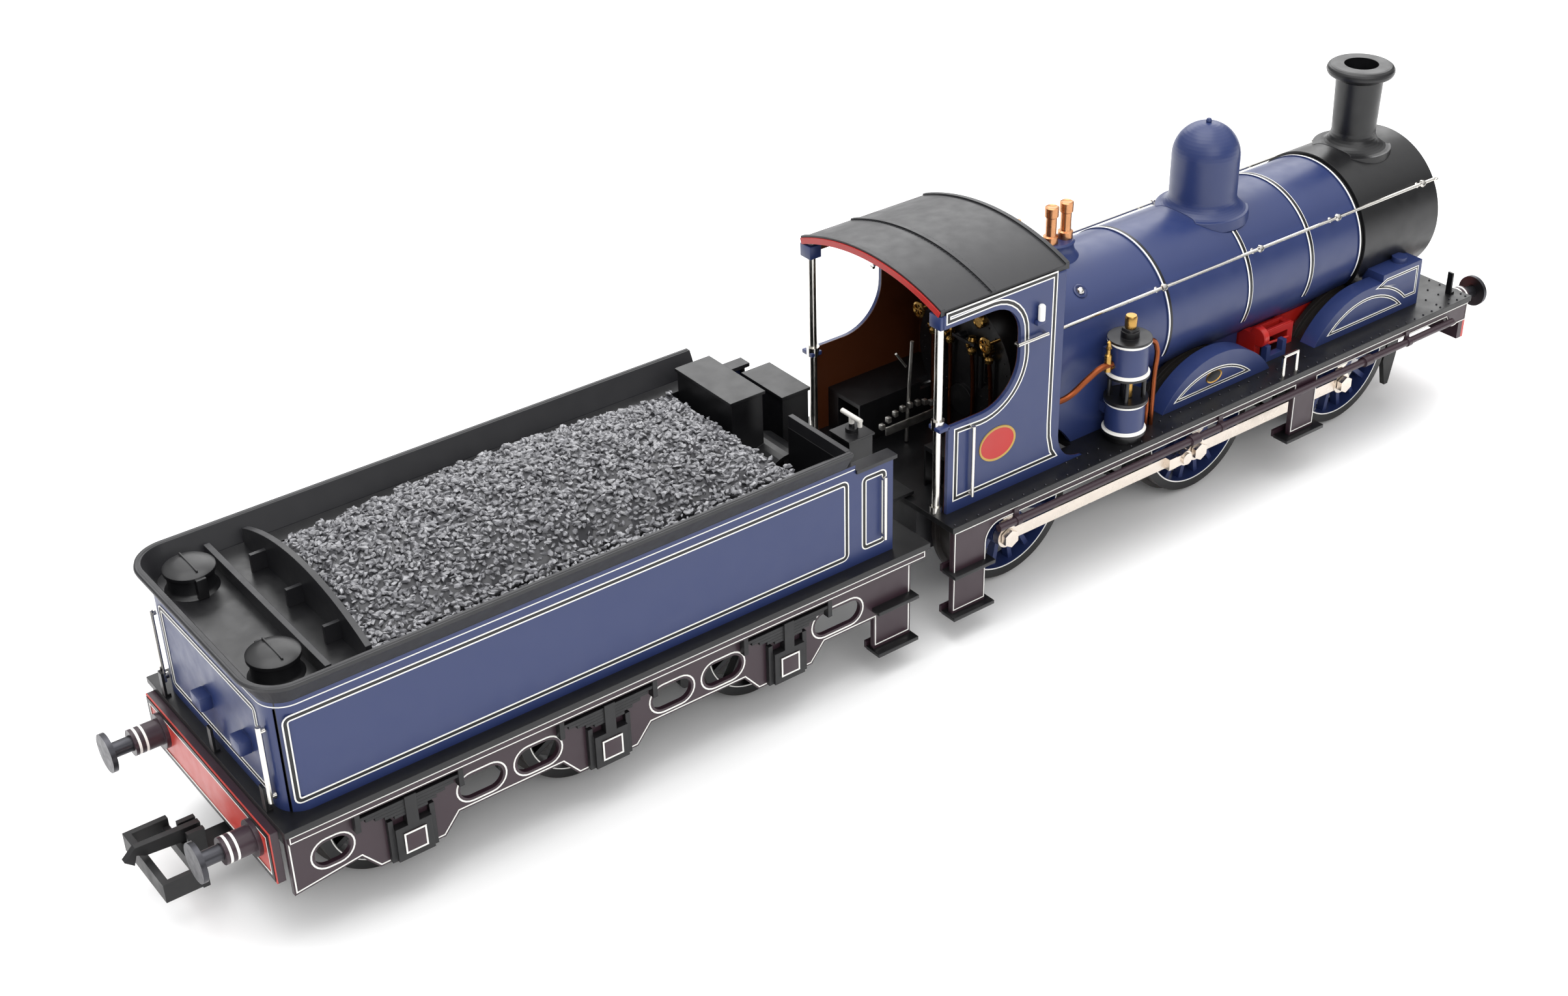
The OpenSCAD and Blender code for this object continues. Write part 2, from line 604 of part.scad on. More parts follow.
module air_pump() {
    color("#25306b") at_part() translate([pump_x, -pump_y, 0]) {
        post(0, 0, [deck_z, deck_z + 1], 2.4);
        post(0, 0, [deck_z + 1, deck_z + 1.5], 2.9);
        post(0, 0, [deck_z + 1.5, deck_z + 5.6], 2.6);
        post(0, 0, [deck_z + 5.6, deck_z + 6.1], 2.9);
        post(0, 0, [deck_z + 6.1, deck_z + 9.3], 0.8);
        post(0, 0, [deck_z + 9.3, deck_z + 9.8], 2.9);
        post(0, 0, [deck_z + 9.8, deck_z + 14.2], 2.6);
        post(0, 0, [deck_z + 14.2, deck_z + 14.7], 2.9);
        post(0, 0, [deck_z + 14.7, deck_z + 15.6], 1.2);
        post(0, 0, [deck_z + 15.6, deck_z + 17.2], 0.6);
        for (a = [45:90:315]) rotate(a) post(2.2, 0, [deck_z + 6.1, deck_z + 9.3], 0.3);
        // bracket to the side of the firebox
        block([-1.5, 1.5], [2.2, pump_y - boiler_r], [deck_z + 3, deck_z + 4.4]);
        block([-1.5, 1.5], [2.2, pump_y - boiler_r], [deck_z + 11, deck_z + 12.4]);
    }
}
module bend(x, y, z, r, pipe_r, turn, a) {
    translate([x, y, z]) rotate(turn) rotate_extrude(angle = a) translate([r, 0]) circle(r = pipe_r, $fn = 24);
}
module pump_pipes() {
    r = 0.35;
    color("#b5692f") at_part() {
        // steam pipe from the cab front to the upper cylinder
        turn_x = pump_x - 2.6 - r - 1.2;
        rod_along_x([cab_front, turn_x], -(pump_y - 1.3), 28, r);
        bend(turn_x, -(pump_y - 0.1), 28, 1.2, r, [0, 0, 0], 90);
        // exhaust pipe that drops from the upper cylinder to the footplate
        rod_along_x([pump_x + 2.6, pump_x + 4], -pump_y, 29.6, r);
        bend(pump_x + 4, -pump_y, 28.6, 1, r, [90, 0, 0], 90);
        post(pump_x + 5, -pump_y, [deck_z, 28.6], r);
        // air delivery from the lower cylinder
        rod_along_x([pump_x + 2.6, pump_x + 2.9], -pump_y, 22, r);
        bend(pump_x + 2.9, -pump_y, 21.1, 0.9, r, [90, 0, 0], 90);
        post(pump_x + 3.8, -pump_y, [deck_z, 21.1], r);
    }
}

// ---- Cab ----
module cab_side_outline() {
    // the opening sweeps up from the shoulder, and a narrow strip closes it under the roof
    cut_x = cab_front - 7.2;
    cut_r = 6.2;
    corner_r = 4.6;
    shoulder = deck_z + 12.4;
    strip = cab_top - 2.4;
    foot_r = 4.6;
    polygon(concat([[cab_rear, deck_z], [cab_front + foot_r, deck_z]],
        arc(cab_front + foot_r, deck_z + foot_r, foot_r, 265, 180, 10),
        [[cab_front, cab_top], [roof_rear + 0.4, cab_top], [roof_rear + 0.4, strip]],
        arc(cut_x - corner_r, strip - corner_r, corner_r, 90, 0, 8),
        arc(cut_x - cut_r, shoulder + cut_r, cut_r, 0, -90, 12),
        [[cab_rear, shoulder]]));
}
// The roof's curve, seen along the length, at a distance in from its top surface
module roof_curve(inset) {
    translate([0, cab_top + roof_rise - roof_r]) circle(r = roof_r - inset, $fn = 128);
}
module cab() {
    color("#25306b") at_part() difference() {
        intersection() {
            union() {
                both_sides() side_plate([-cab_y, -cab_y + sheet_t]) cab_side_outline();
                block([cab_front - sheet_t, cab_front], [-cab_y, cab_y], [deck_z, cab_top + roof_rise]);
            }
            cross_plate([roof_rear, 0]) roof_curve(sheet_t);
        }
        // the boiler passes through, and two spectacle windows stand beside it
        rod_along_x([cab_front - 2, cab_front + 1], 0, boiler_z, boiler_r - 1.2);
        block([cab_front - 2, cab_front + 1], [-hatch_y, hatch_y], [0, boiler_z]);
        both_sides() rod_along_x([cab_front - 2, cab_front + 1], -8, boiler_z + 12.4, 2.1);
        both_sides() block([cab_front - 2, cab_front + 1], [-11, -hatch_y], [0, driver_z + arch_r]);
    }
}
module cab_roof() {
    color("#2a2a2c") at_part() intersection() {
        union() {
            cross_plate([roof_rear, cab_front + 0.6]) difference() {
                roof_curve(0);
                roof_curve(sheet_t);
            }
            for (x = [roof_rear, -42.2, cab_front]) cross_plate([x, x + 0.6]) difference() {
                roof_curve(-0.2);
                roof_curve(sheet_t);
            }
        }
        block([-52, -28], [-roof_y, roof_y], [cab_top - 1.2, cab_top + 5]);
    }
}
module cab_pillars() {
    under = cab_top + roof_rise - roof_r + sqrt((roof_r - sheet_t) * (roof_r - sheet_t) - 12.9 * 12.9);
    color("#d0d0cc") at_part() both_sides() {
        post(-49.4, -12.3, [deck_z, under - 0.1], 0.55);
        post(-49.4, -12.3, [deck_z + 12, deck_z + 13.2], 0.85);
        post(-49.4, -12.3, [deck_z, deck_z + 1], 0.8);
        post(-45.2, -cab_y - 0.6, [18.6, 28.6], 0.25);
        for (z = [18.8, 28.4]) rod_along_y(-45.2, [-cab_y - 0.6, -cab_y], z, 0.22);
        rod_along_x([-38.4, -33.4], -cab_y - 0.6, 37.4, 0.25);
        for (x = [-38.2, -33.6]) rod_along_y(x, [-cab_y - 0.6, -cab_y], 37.4, 0.22);
    }
}
module backhead() {
    face = cab_front - sheet_t;
    color("#1b1b1f") at_part() {
        difference() {
            union() {
                rod_along_x([face - 3.4, face], 0, boiler_z, boiler_r - 1.4);
                block([face - 3.4, face], [-6.2, 6.2], [deck_z, boiler_z]);
            }
            block([face - 0.4, face + 1], [-hatch_y + 0.2, hatch_y - 0.2], [deck_z - 1, boiler_z - 3]);
            both_sides() block([face - 4, face + 1], [-11, -6.6], [deck_z - 1, driver_z + arch_r]);
        }
        // firehole door, regulator, gauges and clacks
        rod_along_x([face - 3.9, face - 3.4], 0, deck_z + 5.4, 2.2);
        rod_along_x([face - 4.6, face - 3.4], 0, boiler_z + 4, 0.5);
        block([face - 4.8, face - 4.5], [-3.2, 1], [boiler_z + 3.8, boiler_z + 4.2]);
        both_sides() post(face - 4, -3.8, [boiler_z - 2, boiler_z + 2.6], 0.35);
        both_sides() for (z = [-1.6, 2.2]) rod_along_x([face - 4, face - 3.4], -3.8, boiler_z + z, 0.3);
        rod_along_x([face - 3.9, face - 3.4], -2, boiler_z + 6.6, 0.9);
    }
}
module cab_seats() {
    color("#8a6b4a") at_part() {
        both_sides() difference() {
            block([-46.4, cab_front - sheet_t], [-cab_y + sheet_t, -6.4], [deck_z, driver_z + arch_r + arch_t]);
            block([-50, cab_front + 1], [-10.9, -6.7], [deck_z - 1, driver_z + arch_r]);
            rod_along_x([cab_front - 6, cab_front], 0, boiler_z, boiler_r - 1.38);
        }
        // reverser on the driver's side, with its screw and handle
        block([-44, -38.6], [-12.4, -11.2], [driver_z + arch_r + arch_t, driver_z + arch_r + arch_t + 3]);
        rod_along_x([-45.6, -44], -11.8, driver_z + arch_r + arch_t + 2, 0.3);
        rod_along_x([-45.8, -45.4], -11.8, driver_z + arch_r + arch_t + 2, 1);
    }
}

// ---- Tender ----
module drawbar() {
    color("#6f6f72") at_part() difference() {
        hull() for (x = bar_pin) post(x, 0, [bar_z, bar_z + 0.8], 1.9);
        for (x = bar_pin) post(x, 0, [0, 10], 0.9 + running_gap);
    }
}
module tender_chassis() {
    color("#3a3a3c") at_part() {
        difference() {
            block([-136.6, -58], [-chassis_y, chassis_y], [6.4, plate_z]);
            for (x = tender_axles) rod_along_y(x, [-10, 10], tender_axle_z, tender_axle_r + running_gap);
            for (x = [tender_axles[0] - 20, tender_axles[1] - 20])
                block([x - 1, x + 16], [-4.6, 4.6], [8, plate_z + 1]);
        }
        post(bar_pin[1], 0, [bar_z - 0.1, 6.4], 0.9);
        post(bar_pin[1], 0, [bar_z - 0.9, bar_z - 0.1], 1.6);
        // pocket and pin that carry the rear coupling
        block([-140.4, -136.6], [-2.4, 2.4], [coupling_z + 1.9, 9]);
        post(coupling_pin, 0, [coupling_z - 0.1, coupling_z + 1.9], 0.8);
        post(coupling_pin, 0, [coupling_z - 0.8, coupling_z - 0.1], 1.4);
        both_sides() for (x = tender_axles) side_plate([-9.4, -8.6])
            polygon(concat([[x - 10.3, 16]], arc(x - 9.8, 6.2, 0.9, 180, 360, 8), [[x - 9.3, 16]]));
        for (x = tender_axles) block([x - 10.2, x - 9.4], [-8.8, 8.8], [5.3, 6.4]);
    }
}
module tender_slots() {
    for (x = tender_axles) both_sides() block([x - 6, x + 6], [-10.6, -6.8], [0, 18.2]);
}
module tender_footplate() {
    color("#141416") at_part() difference() {
        block([tender_rear, tender_front], [-tender_y, tender_y], [plate_z, deck_z]);
        tender_slots();
    }
}
module frame_outline() {
    low = 6.2;
    high = 8.6;
    difference() {
        polygon(concat([[tender_rear + 0.4, plate_z], [tender_rear + 0.4, low + 1.4]],
            [for (i = [2:-1:0]) let (x = tender_axles[i])
                for (p = [[x - 6, high], [x - 4, low], [x + 4, low], [x + 6, high]]) p],
            [[-62.4, high], [-62.4, 4], [-56.6, 4], [-56.6, plate_z]]));
        for (i = [0, 1]) for (side = [-1, 1]) translate([tender_axles[i] - tender_wheelbase / 2 + side * 3.6, 11.2])
            lightening_hole(1.2);
        translate([tender_axles[2] - 9, 11.2]) lightening_hole(0.6);
        translate([tender_axles[0] + 8, 11.2]) lightening_hole(2);
    }
}
module lightening_hole(half) {
    translate([-half, 0]) circle(r = 1.5);
    translate([half, 0]) circle(r = 1.5);
    translate([-half, -1.5]) square([2 * half, 3]);
}
module tender_frames() {
    color("#3b2a33") at_part() both_sides() {
        side_plate([-frame_y - frame_t, -frame_y]) frame_outline();
        side_plate([-tender_y + 0.2, -tender_y + 0.8]) polygon([[tender_rear + 0.4, plate_z], [tender_rear + 0.4, 15],
            [-55, 15], [-55, plate_z]]);
        for (z = [9.8, 3.6]) {
            block([-62.6, -56.4], [-17.3, -14.4], [z, z + 0.4]);
            block([-62.6, -56.4], [-14.8, -14.4], [z + 0.4, z + 1]);
        }
    }
}
module axleboxes() {
    color("#1b1b1f") at_part() both_sides() for (x = tender_axles) {
        block([x - 2.2, x + 2.2], [-17, -frame_y - frame_t], [tender_axle_z - 2.2, tender_axle_z + 2.2]);
        block([x - 2.8, x - 2.2], [-16.6, -frame_y - frame_t], [6.4, 12]);
        block([x + 2.2, x + 2.8], [-16.6, -frame_y - frame_t], [6.4, 12]);
        // leaf spring with its buckle
        for (i = [0:4]) block([x - 6.4 + 1.1 * i, x + 6.4 - 1.1 * i], [-16.8, -frame_y - frame_t],
            [13.9 - 0.42 * i, 14.3 - 0.42 * i]);
        block([x - 0.7, x + 0.7], [-17, -frame_y - frame_t], [tender_axle_z + 2.2, 14.6]);
        for (side = [-1, 1]) block([x + side * 6.2 - 0.3, x + side * 6.2 + 0.3], [-16.9, -frame_y - frame_t], [12.6, 14.9]);
    }
}
module tank_plan(x, y, r) {
    hull() {
        for (side = [-1, 1]) translate([x[0] + r, side * (y - r)]) circle(r = r);
        translate([x[1] - 1, -y]) square([1, 2 * y]);
    }
}
module tender_tank() {
    color("#25306b") at_part() {
        difference() {
            translate([0, 0, deck_z]) linear_extrude(height = tank_h) tank_plan([tank_rear, tank_front], tank_y, tank_r);
            block([tank_rear + 0.8, tank_front - 0.8], [-tank_y + 0.8, tank_y - 0.8], [deck_z - 1, tank_top - 0.8]);
            block([hopper_x[0] - 0.8, tank_front - 0.8], [-hopper_y - 0.8, hopper_y + 0.8], [hopper_z, tank_top + 1]);
            block([tank_front - 2, tank_front + 1], [-3.4, 3.4], [hopper_z, tank_top + 1]);
        }
        difference() {
            block([hopper_x[0] - 0.8, hopper_x[1] + 0.6], [-hopper_y - 0.8, hopper_y + 0.8], [hopper_z - 0.8, tank_top]);
            block([hopper_x[0], hopper_x[1] + 2], [-hopper_y, hopper_y], [hopper_z, tank_top + 1]);
        }
        both_sides() block([tank_front, -58.9], [-tank_y, -tank_y + 0.7], [deck_z, tank_top - 1.2]);
        // lamp brackets on the rear
        for (y = [-8, 1.6]) block([tank_rear - 1.3, tank_rear], [y - 1.1, y + 1.1], [deck_z + 5, deck_z + 6.6]);
    }
}
bulkhead_h = 5;
bulkhead_r = 36;
module coping() {
    low = tank_y - 0.9;
    color("#141416") at_part() {
        difference() {
            union() {
                // the flare rises and leans out round three sides of the tank
                hull() {
                    translate([0, 0, tank_top]) linear_extrude(height = 0.1) tank_plan([tank_rear, hopper_x[1]], tank_y, tank_r);
                    translate([0, 0, tank_top + coping_h - 0.4]) linear_extrude(height = 0.4)
                        tank_plan([tank_rear - coping_flare, hopper_x[1]], tank_y + coping_flare, tank_r + coping_flare);
                }
            }
            hull() {
                translate([0, 0, tank_top - 0.1]) linear_extrude(height = 0.2)
                    tank_plan([tank_rear + 0.7, hopper_x[1] + 4], tank_y - 0.7, tank_r - 0.7);
                translate([0, 0, tank_top + coping_h]) linear_extrude(height = 0.4)
                    tank_plan([tank_rear - coping_flare + 0.7, hopper_x[1] + 4], tank_y + coping_flare - 0.7,
                        tank_r + coping_flare - 0.7);
            }
        }
        // two bulkheads across the tank top, between the fillers and the coal, and a low one at the front
        block([hopper_x[0] - 5.4, hopper_x[0] - 4.7], [-low, low], [tank_top, tank_top + 1.7]);
        intersection() {
            block([hopper_x[0] - 0.8, hopper_x[0] - 0.1], [-low, low], [tank_top, tank_top + 6]);
            rod_along_x([-140, -120], 0, tank_top + bulkhead_h - bulkhead_r, bulkhead_r, $fn = 180);
        }
        for (y = [-8.6, 0, 8.6]) block([hopper_x[0] - 2.6, hopper_x[0] - 0.7], [y - 0.25, y + 0.25], [tank_top, tank_top + 2.2]);
        block([tank_front - 0.75, tank_front - 0.05], [-low, -3.4], [tank_top, tank_top + 1.6]);
        both_sides() block([tank_front + 0.02, -58.5], [-tank_y - 0.3, -tank_y + 1.6], [tank_top - 1.2, tank_top - 0.7]);
    }
}
coal_nx = 26;
coal_ny = 12;
coal_gap = 0.35;
coal_front = -72;
function coal_bump(i, j) = 0.45 * sin(i * 137 + j * 71) + 0.35 * sin(i * 211 - j * 149 + 40);
function coal_top(i, j) = tank_top + 0.6 + coal_h * pow(max(0, sin(180 * i / coal_nx) * sin(180 * j / coal_ny)), 0.55)
    + coal_bump(i, j);
function coal_x(i) = hopper_x[0] + coal_gap + i * (coal_front - hopper_x[0] - coal_gap) / coal_nx;
function coal_y(j) = -hopper_y + coal_gap + j * (2 * hopper_y - 2 * coal_gap) / coal_ny;
module coal() {
    row = coal_ny + 1;
    count = (coal_nx + 1) * row;
    color("#26262a") at_part() polyhedron(
        points = [for (z = [0, 1]) for (i = [0:coal_nx]) for (j = [0:coal_ny])
            [coal_x(i), coal_y(j), z == 0 ? hopper_z : coal_top(i, j) - 0.6]],
        faces = concat(
            [for (i = [0:coal_nx - 1]) for (j = [0:coal_ny - 1]) let (a = i * row + j) [a, a + row, a + row + 1]],
            [for (i = [0:coal_nx - 1]) for (j = [0:coal_ny - 1]) let (a = i * row + j) [a, a + row + 1, a + 1]],
            [for (i = [0:coal_nx - 1]) for (j = [0:coal_ny - 1]) let (a = count + i * row + j) [a, a + row + 1, a + row]],
            [for (i = [0:coal_nx - 1]) for (j = [0:coal_ny - 1]) let (a = count + i * row + j) [a, a + 1, a + row + 1]],
            [for (i = [0:coal_nx - 1]) let (a = i * row) each [[a, a + count, a + count + row], [a, a + count + row, a + row]]],
            [for (i = [0:coal_nx - 1]) let (a = i * row + coal_ny)
                each [[a, a + count + row, a + count], [a, a + row, a + count + row]]],
            [for (j = [0:coal_ny - 1]) each [[j, j + count + 1, j + count], [j, j + 1, j + count + 1]]],
            [for (j = [0:coal_ny - 1]) let (a = coal_nx * row + j)
                each [[a, a + count, a + count + 1], [a, a + count + 1, a + 1]]]));
}
module fillers() {
    color("#1b1b1f") at_part() both_sides() {
        post(filler_x, -9.6, [tank_top, tank_top + 2.3], 3);
        post(filler_x, -9.6, [tank_top + 2.3, tank_top + 2.9], 3.25);
        block([filler_x - 0.2, filler_x + 0.2], [-12.4, -6.8], [tank_top + 2.8, tank_top + 3.3]);
    }
}
module tender_beam() {
    color("#b3202a") at_part() beam_with_stocks(tender_rear, beam_rear, -1);
}
module tender_fittings() {
    color("#1b1b1f") at_part() {
        // tool box at the front of the coal space, and the locker on the front platform
        block([-70.6, -66], [0.8, hopper_y - 0.2], [hopper_z, tank_top + 3]);
        block([-70.9, -65.7], [0.6, hopper_y - 0.1], [tank_top + 3, tank_top + 3.4]);
        block([-61.4, -57.4], [3, 11], [deck_z, tank_top - 0.4]);
        block([-61.6, -57.2], [2.8, 11.2], [tank_top - 0.4, tank_top]);
        // curved shovel plate on its brackets
        side_plate([-3.3, 3.3]) polygon(concat(arc(-65.2, 22.6, 4.6, 138, 62, 8), arc(-65.2, 22.6, 4.1, 62, 138, 8)));
        for (y = [-3.3, 2.5]) block([-64.4, -63.8], [y, y + 0.8], [deck_z, tank_top - 4.7]);
        // handrails at the rear corners and at the front
        both_sides() {
            post(tank_rear - 0.6, -tank_y + 2, [deck_z + 1.4, deck_z + 10.8], 0.25);
            for (z = [1.8, 10.4]) rod_along_x([tank_rear - 0.6, tank_rear], -tank_y + 2, deck_z + z, 0.22);
            post(-59.4, -tank_y + 1.3, [deck_z, tank_top - 1.2], 0.3);
        }
        for (y = [-12.6, 0, 12.6]) {
            block([tender_rear + 0.1, tender_rear + 0.4], [y - 0.45, y + 0.45], [deck_z, deck_z + 3.2]);
            block([tender_rear + 0.4, tender_rear + 0.8], [y - 0.45, y + 0.45], [deck_z, deck_z + 0.3]);
        }
    }
}
module brake_standard() {
    color("#1b1b1f") at_part() {
        block([-60, -56.4], [-8.4, -4.9], [deck_z, deck_z + 12]);
        block([-60.2, -56.2], [-8.6, -4.7], [deck_z + 12, deck_z + 12.3]);
        post(-58.2, -6.6, [deck_z + 12.3, deck_z + 12.9], 0.8);
        post(-58.2, -6.6, [deck_z + 12.9, deck_z + 14.4], 0.35);
        rod_along_y(-58.2, [-8.4, -4.8], deck_z + 14.4, 0.32);
        post(-58.2, -8.2, [deck_z + 13.6, deck_z + 14.4], 0.3);
    }
}
module tender_weight() {
    color("#77787c") at_part() {
        block([-124, -78], [-6, 6], [deck_z, 20.6]);
        for (x = [-120, -82]) for (y = [-4.6, 4.6]) post(x, y, [20.6, 21.6], 0.8);
    }
}
module circuit_board() {
    color("#1f6b3a") at_part() {
        block([-122, -80], [-6.6, 6.6], [21.6, 22.4]);
        block([-114, -104], [-4, 4], [22.4, 22.9]);
        block([-98, -86], [-5, 5], [22.4, 22.9]);
    }
}
module fall_plate() {
    color("#26262a") at_part() {
        difference() {
            union() {
                block([-54.4, -49], [-7.6, 7.6], [deck_z + 0.3, deck_z + 0.7]);
                rod_along_y(-54.4, [-7.6, 7.6], deck_z + 0.9, 0.6);
            }
            rod_along_y(-54.4, [-9, 9], deck_z + 0.9, 0.3);
            for (y = [-5.2, 5.2]) block([-55.2, -53.6], [y - 0.9, y + 0.9], [deck_z, deck_z + 2]);
        }
    }
}
module coupling_bar() {
    color("#1b1b1f") at_part() {
        difference() {
            union() {
                block([-146.2, coupling_pin], [-1.5, 1.5], [coupling_z, coupling_z + 1.6]);
                post(coupling_pin, 0, [coupling_z, coupling_z + 1.6], 1.5);
            }
            post(coupling_pin, 0, [0, 10], 0.8 + running_gap);
        }
        // side arms and the bar across the end
        both_sides() {
            block([-149.6, -145.4], [-5.4, -4.7], [coupling_z + 0.2, coupling_z + 2.6]);
            block([-146.2, -145.4], [-5.4, -1.5], [coupling_z, coupling_z + 1.6]);
            block([-145.6, -143.6], [-1.5, -0.9], [coupling_z + 1.6, hook_pivot[1] + 0.8]);
        }
        block([-150.4, -149.6], [-5.4, 5.4], [coupling_z + 0.2, coupling_z + 2.6]);
        rod_along_y(hook_pivot[0], [-1.5, 1.5], hook_pivot[1], 0.35);
    }
}
module coupling_hook() {
    color("#9a9a9c") at_part() difference() {
        side_plate([-0.4, 0.4]) polygon([[hook_pivot[0] + 1, hook_pivot[1] - 0.9], [hook_pivot[0] + 1, hook_pivot[1] + 0.9],
            [hook_tip + 1.4, hook_pivot[1] + 1.1], [hook_tip, hook_pivot[1] - 0.2], [hook_tip + 1, hook_pivot[1] - 1.1],
            [hook_tip + 1.4, hook_pivot[1] + 0.1], [hook_tip + 2.4, hook_pivot[1] - 0.4]]);
        rod_along_y(hook_pivot[0], [-1, 1], hook_pivot[1], 0.35 + running_gap);
    }
}

chassis_block();
keeper_plate();
footplate();
valances();
boiler();
boiler_bands();
smokebox();
smokebox_door();
chimney();
dome();
safety_valves();
cab();
cab_roof();
cab_pillars();
backhead();
cab_seats();
splashers();
boiler_handrails();
air_pump();
pump_pipes();
train_pipe();
front_beam();
lamp_irons();
inside_motion();
motor_can();
motor_shaft();
front_wheels();
front_axle();
driving_wheels();
driving_axle();
rear_wheels();
rear_axle();
front_rod_right();
front_rod_left();
rear_rod_right();
rear_rod_left();
front_buffer_right();
front_buffer_left();
drawbar();
tender_chassis();
tender_footplate();
tender_frames();
axleboxes();
tender_tank();
coping();
coal();
fillers();
tender_beam();
tender_fittings();
brake_standard();
tender_weight();
circuit_board();
fall_plate();
tender_wheelset_front();
tender_wheelset_middle();
tender_wheelset_rear();
rear_buffer_right();
rear_buffer_left();
coupling_bar();
coupling_hook();
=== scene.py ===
# 4 mm scale locomotive and tender: finishes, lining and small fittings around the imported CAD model
import math
import random

import bmesh
import bpy
from mathutils import Matrix, Vector
from mathutils.bvhtree import BVHTree


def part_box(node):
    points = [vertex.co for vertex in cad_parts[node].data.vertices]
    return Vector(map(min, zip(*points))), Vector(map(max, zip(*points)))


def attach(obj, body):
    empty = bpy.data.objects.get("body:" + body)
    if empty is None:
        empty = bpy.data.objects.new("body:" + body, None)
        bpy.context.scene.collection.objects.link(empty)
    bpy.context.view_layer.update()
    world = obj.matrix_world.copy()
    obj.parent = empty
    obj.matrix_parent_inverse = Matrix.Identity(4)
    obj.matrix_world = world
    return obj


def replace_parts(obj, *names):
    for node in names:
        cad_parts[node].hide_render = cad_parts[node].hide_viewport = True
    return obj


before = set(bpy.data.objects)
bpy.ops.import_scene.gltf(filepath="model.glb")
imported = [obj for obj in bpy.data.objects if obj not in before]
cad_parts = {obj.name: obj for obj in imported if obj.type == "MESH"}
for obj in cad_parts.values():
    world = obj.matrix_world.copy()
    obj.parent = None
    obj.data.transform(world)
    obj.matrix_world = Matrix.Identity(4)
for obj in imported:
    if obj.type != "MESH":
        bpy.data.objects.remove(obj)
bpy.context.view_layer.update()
scene = bpy.context.scene
print("frame loaded")

mm = 0.001
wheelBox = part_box("driving_wheels")
axleX = (wheelBox[0].x + wheelBox[1].x) / 2  # lengths below are millimetres from the driving axle
toPart = Matrix.Translation((axleX, 0, 0)) @ Matrix.Scale(mm, 4)


def boxMm(node):
    low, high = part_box(node)
    shift = (axleX, 0, 0)
    return [(low[i] - shift[i]) / mm for i in range(3)], [(high[i] - shift[i]) / mm for i in range(3)]


# ---- Camera, light and floor ----
cameraPlace = {"eye": (-201.85, -185.93, 162.54), "yaw": 53.39, "pitch": -31.833, "roll": -1.326, "lens": 50.36}


def addCamera(place):
    yaw, pitch, roll = (math.radians(place[k]) for k in ("yaw", "pitch", "roll"))
    ahead = Vector((math.cos(yaw) * math.cos(pitch), math.sin(yaw) * math.cos(pitch), math.sin(pitch)))
    level = Vector((math.sin(yaw), -math.cos(yaw), 0))
    up = level.cross(ahead)
    right = math.cos(roll) * level + math.sin(roll) * up
    top = math.cos(roll) * up - math.sin(roll) * level
    data = bpy.data.cameras.new("studioCamera")
    data.lens = place["lens"]
    data.sensor_width = 36
    data.clip_start = 0.01
    camera = bpy.data.objects.new("studioCamera", data)
    turn = Matrix((right, top, -ahead)).transposed().to_4x4()
    camera.matrix_world = Matrix.Translation(toPart @ Vector(place["eye"])) @ turn
    scene.collection.objects.link(camera)
    scene.camera = camera


addCamera(cameraPlace)

studio = {
    # brightness by height: a dim room under a white ceiling
    "world": {"low": 0.14, "high": 1.5, "from": 0.18, "to": 0.8},
    "softboxes": [  # name, place in metres, size, watts
        ("overheadSoftbox", (-0.05, 0.05, 0.75), (0.8, 0.6), 3.4),
        ("farSoftbox", (0.5, 0.62, 0.42), (0.9, 0.55), 3.4),
        ("nearSoftbox", (-0.25, -0.75, 0.5), (0.7, 0.5), 2.1),
    ],
}


def toLinear(code):
    parts = [int(code[i:i + 2], 16) / 255 for i in (1, 3, 5)]
    return tuple(c / 12.92 if c <= 0.04045 else ((c + 0.055) / 1.055) ** 2.4 for c in parts) + (1.0,)


def addNode(tree, kind, inputs=None, **settings):
    node = tree.nodes.new("ShaderNode" + kind)
    for key, value in settings.items():
        setattr(node, key, value)
    for key, value in (inputs or {}).items():
        socket = node.inputs[key]
        if isinstance(value, bpy.types.NodeSocket):
            tree.links.new(value, socket)
        else:
            socket.default_value = value
    return node


def lightStudio(setup):
    world = bpy.data.worlds.new("paleStudio")
    world.use_nodes = True
    back = world.node_tree.nodes["Background"]
    back.inputs["Color"].default_value = (1, 1, 1, 1)
    sky, tree = setup["world"], world.node_tree
    place = addNode(tree, "TexCoord")
    parts = addNode(tree, "SeparateXYZ", {"Vector": place.outputs["Generated"]})
    level = addNode(tree, "MapRange", {"Value": parts.outputs["Z"], "From Min": sky["from"], "From Max": sky["to"],
                                       "To Min": sky["low"], "To Max": sky["high"]})
    tree.links.new(level.outputs["Result"], back.inputs["Strength"])
    scene.world = world
    for name, place, size, watts in setup["softboxes"]:
        data = bpy.data.lights.new(name, "AREA")
        data.shape = "RECTANGLE"
        data.size, data.size_y = size
        data.energy = watts
        lamp = bpy.data.objects.new(name, data)
        aim = Vector((0, 0, 0.02)) - Vector(place)
        lamp.matrix_world = Matrix.Translation(place) @ aim.to_track_quat("-Z", "Y").to_matrix().to_4x4()
        lamp.visible_camera = False
        scene.collection.objects.link(lamp)


lightStudio(studio)
scene.view_settings.view_transform = "Standard"


# ---- Materials ----
def startMaterial(name):
    material = bpy.data.materials.new(name)
    material.use_nodes = True
    tree = material.node_tree
    tree.nodes.clear()
    return material, tree


def finishMaterial(tree, shader):
    addNode(tree, "OutputMaterial", {"Surface": shader.outputs["BSDF"]})


def fineNoise(tree, sizeMm, detail=3.0):  # a noise whose blobs are about sizeMm across
    place = addNode(tree, "TexCoord")
    return addNode(tree, "TexNoise", {"Vector": place.outputs["Object"], "Scale": 1 / (sizeMm * mm), "Detail": detail})


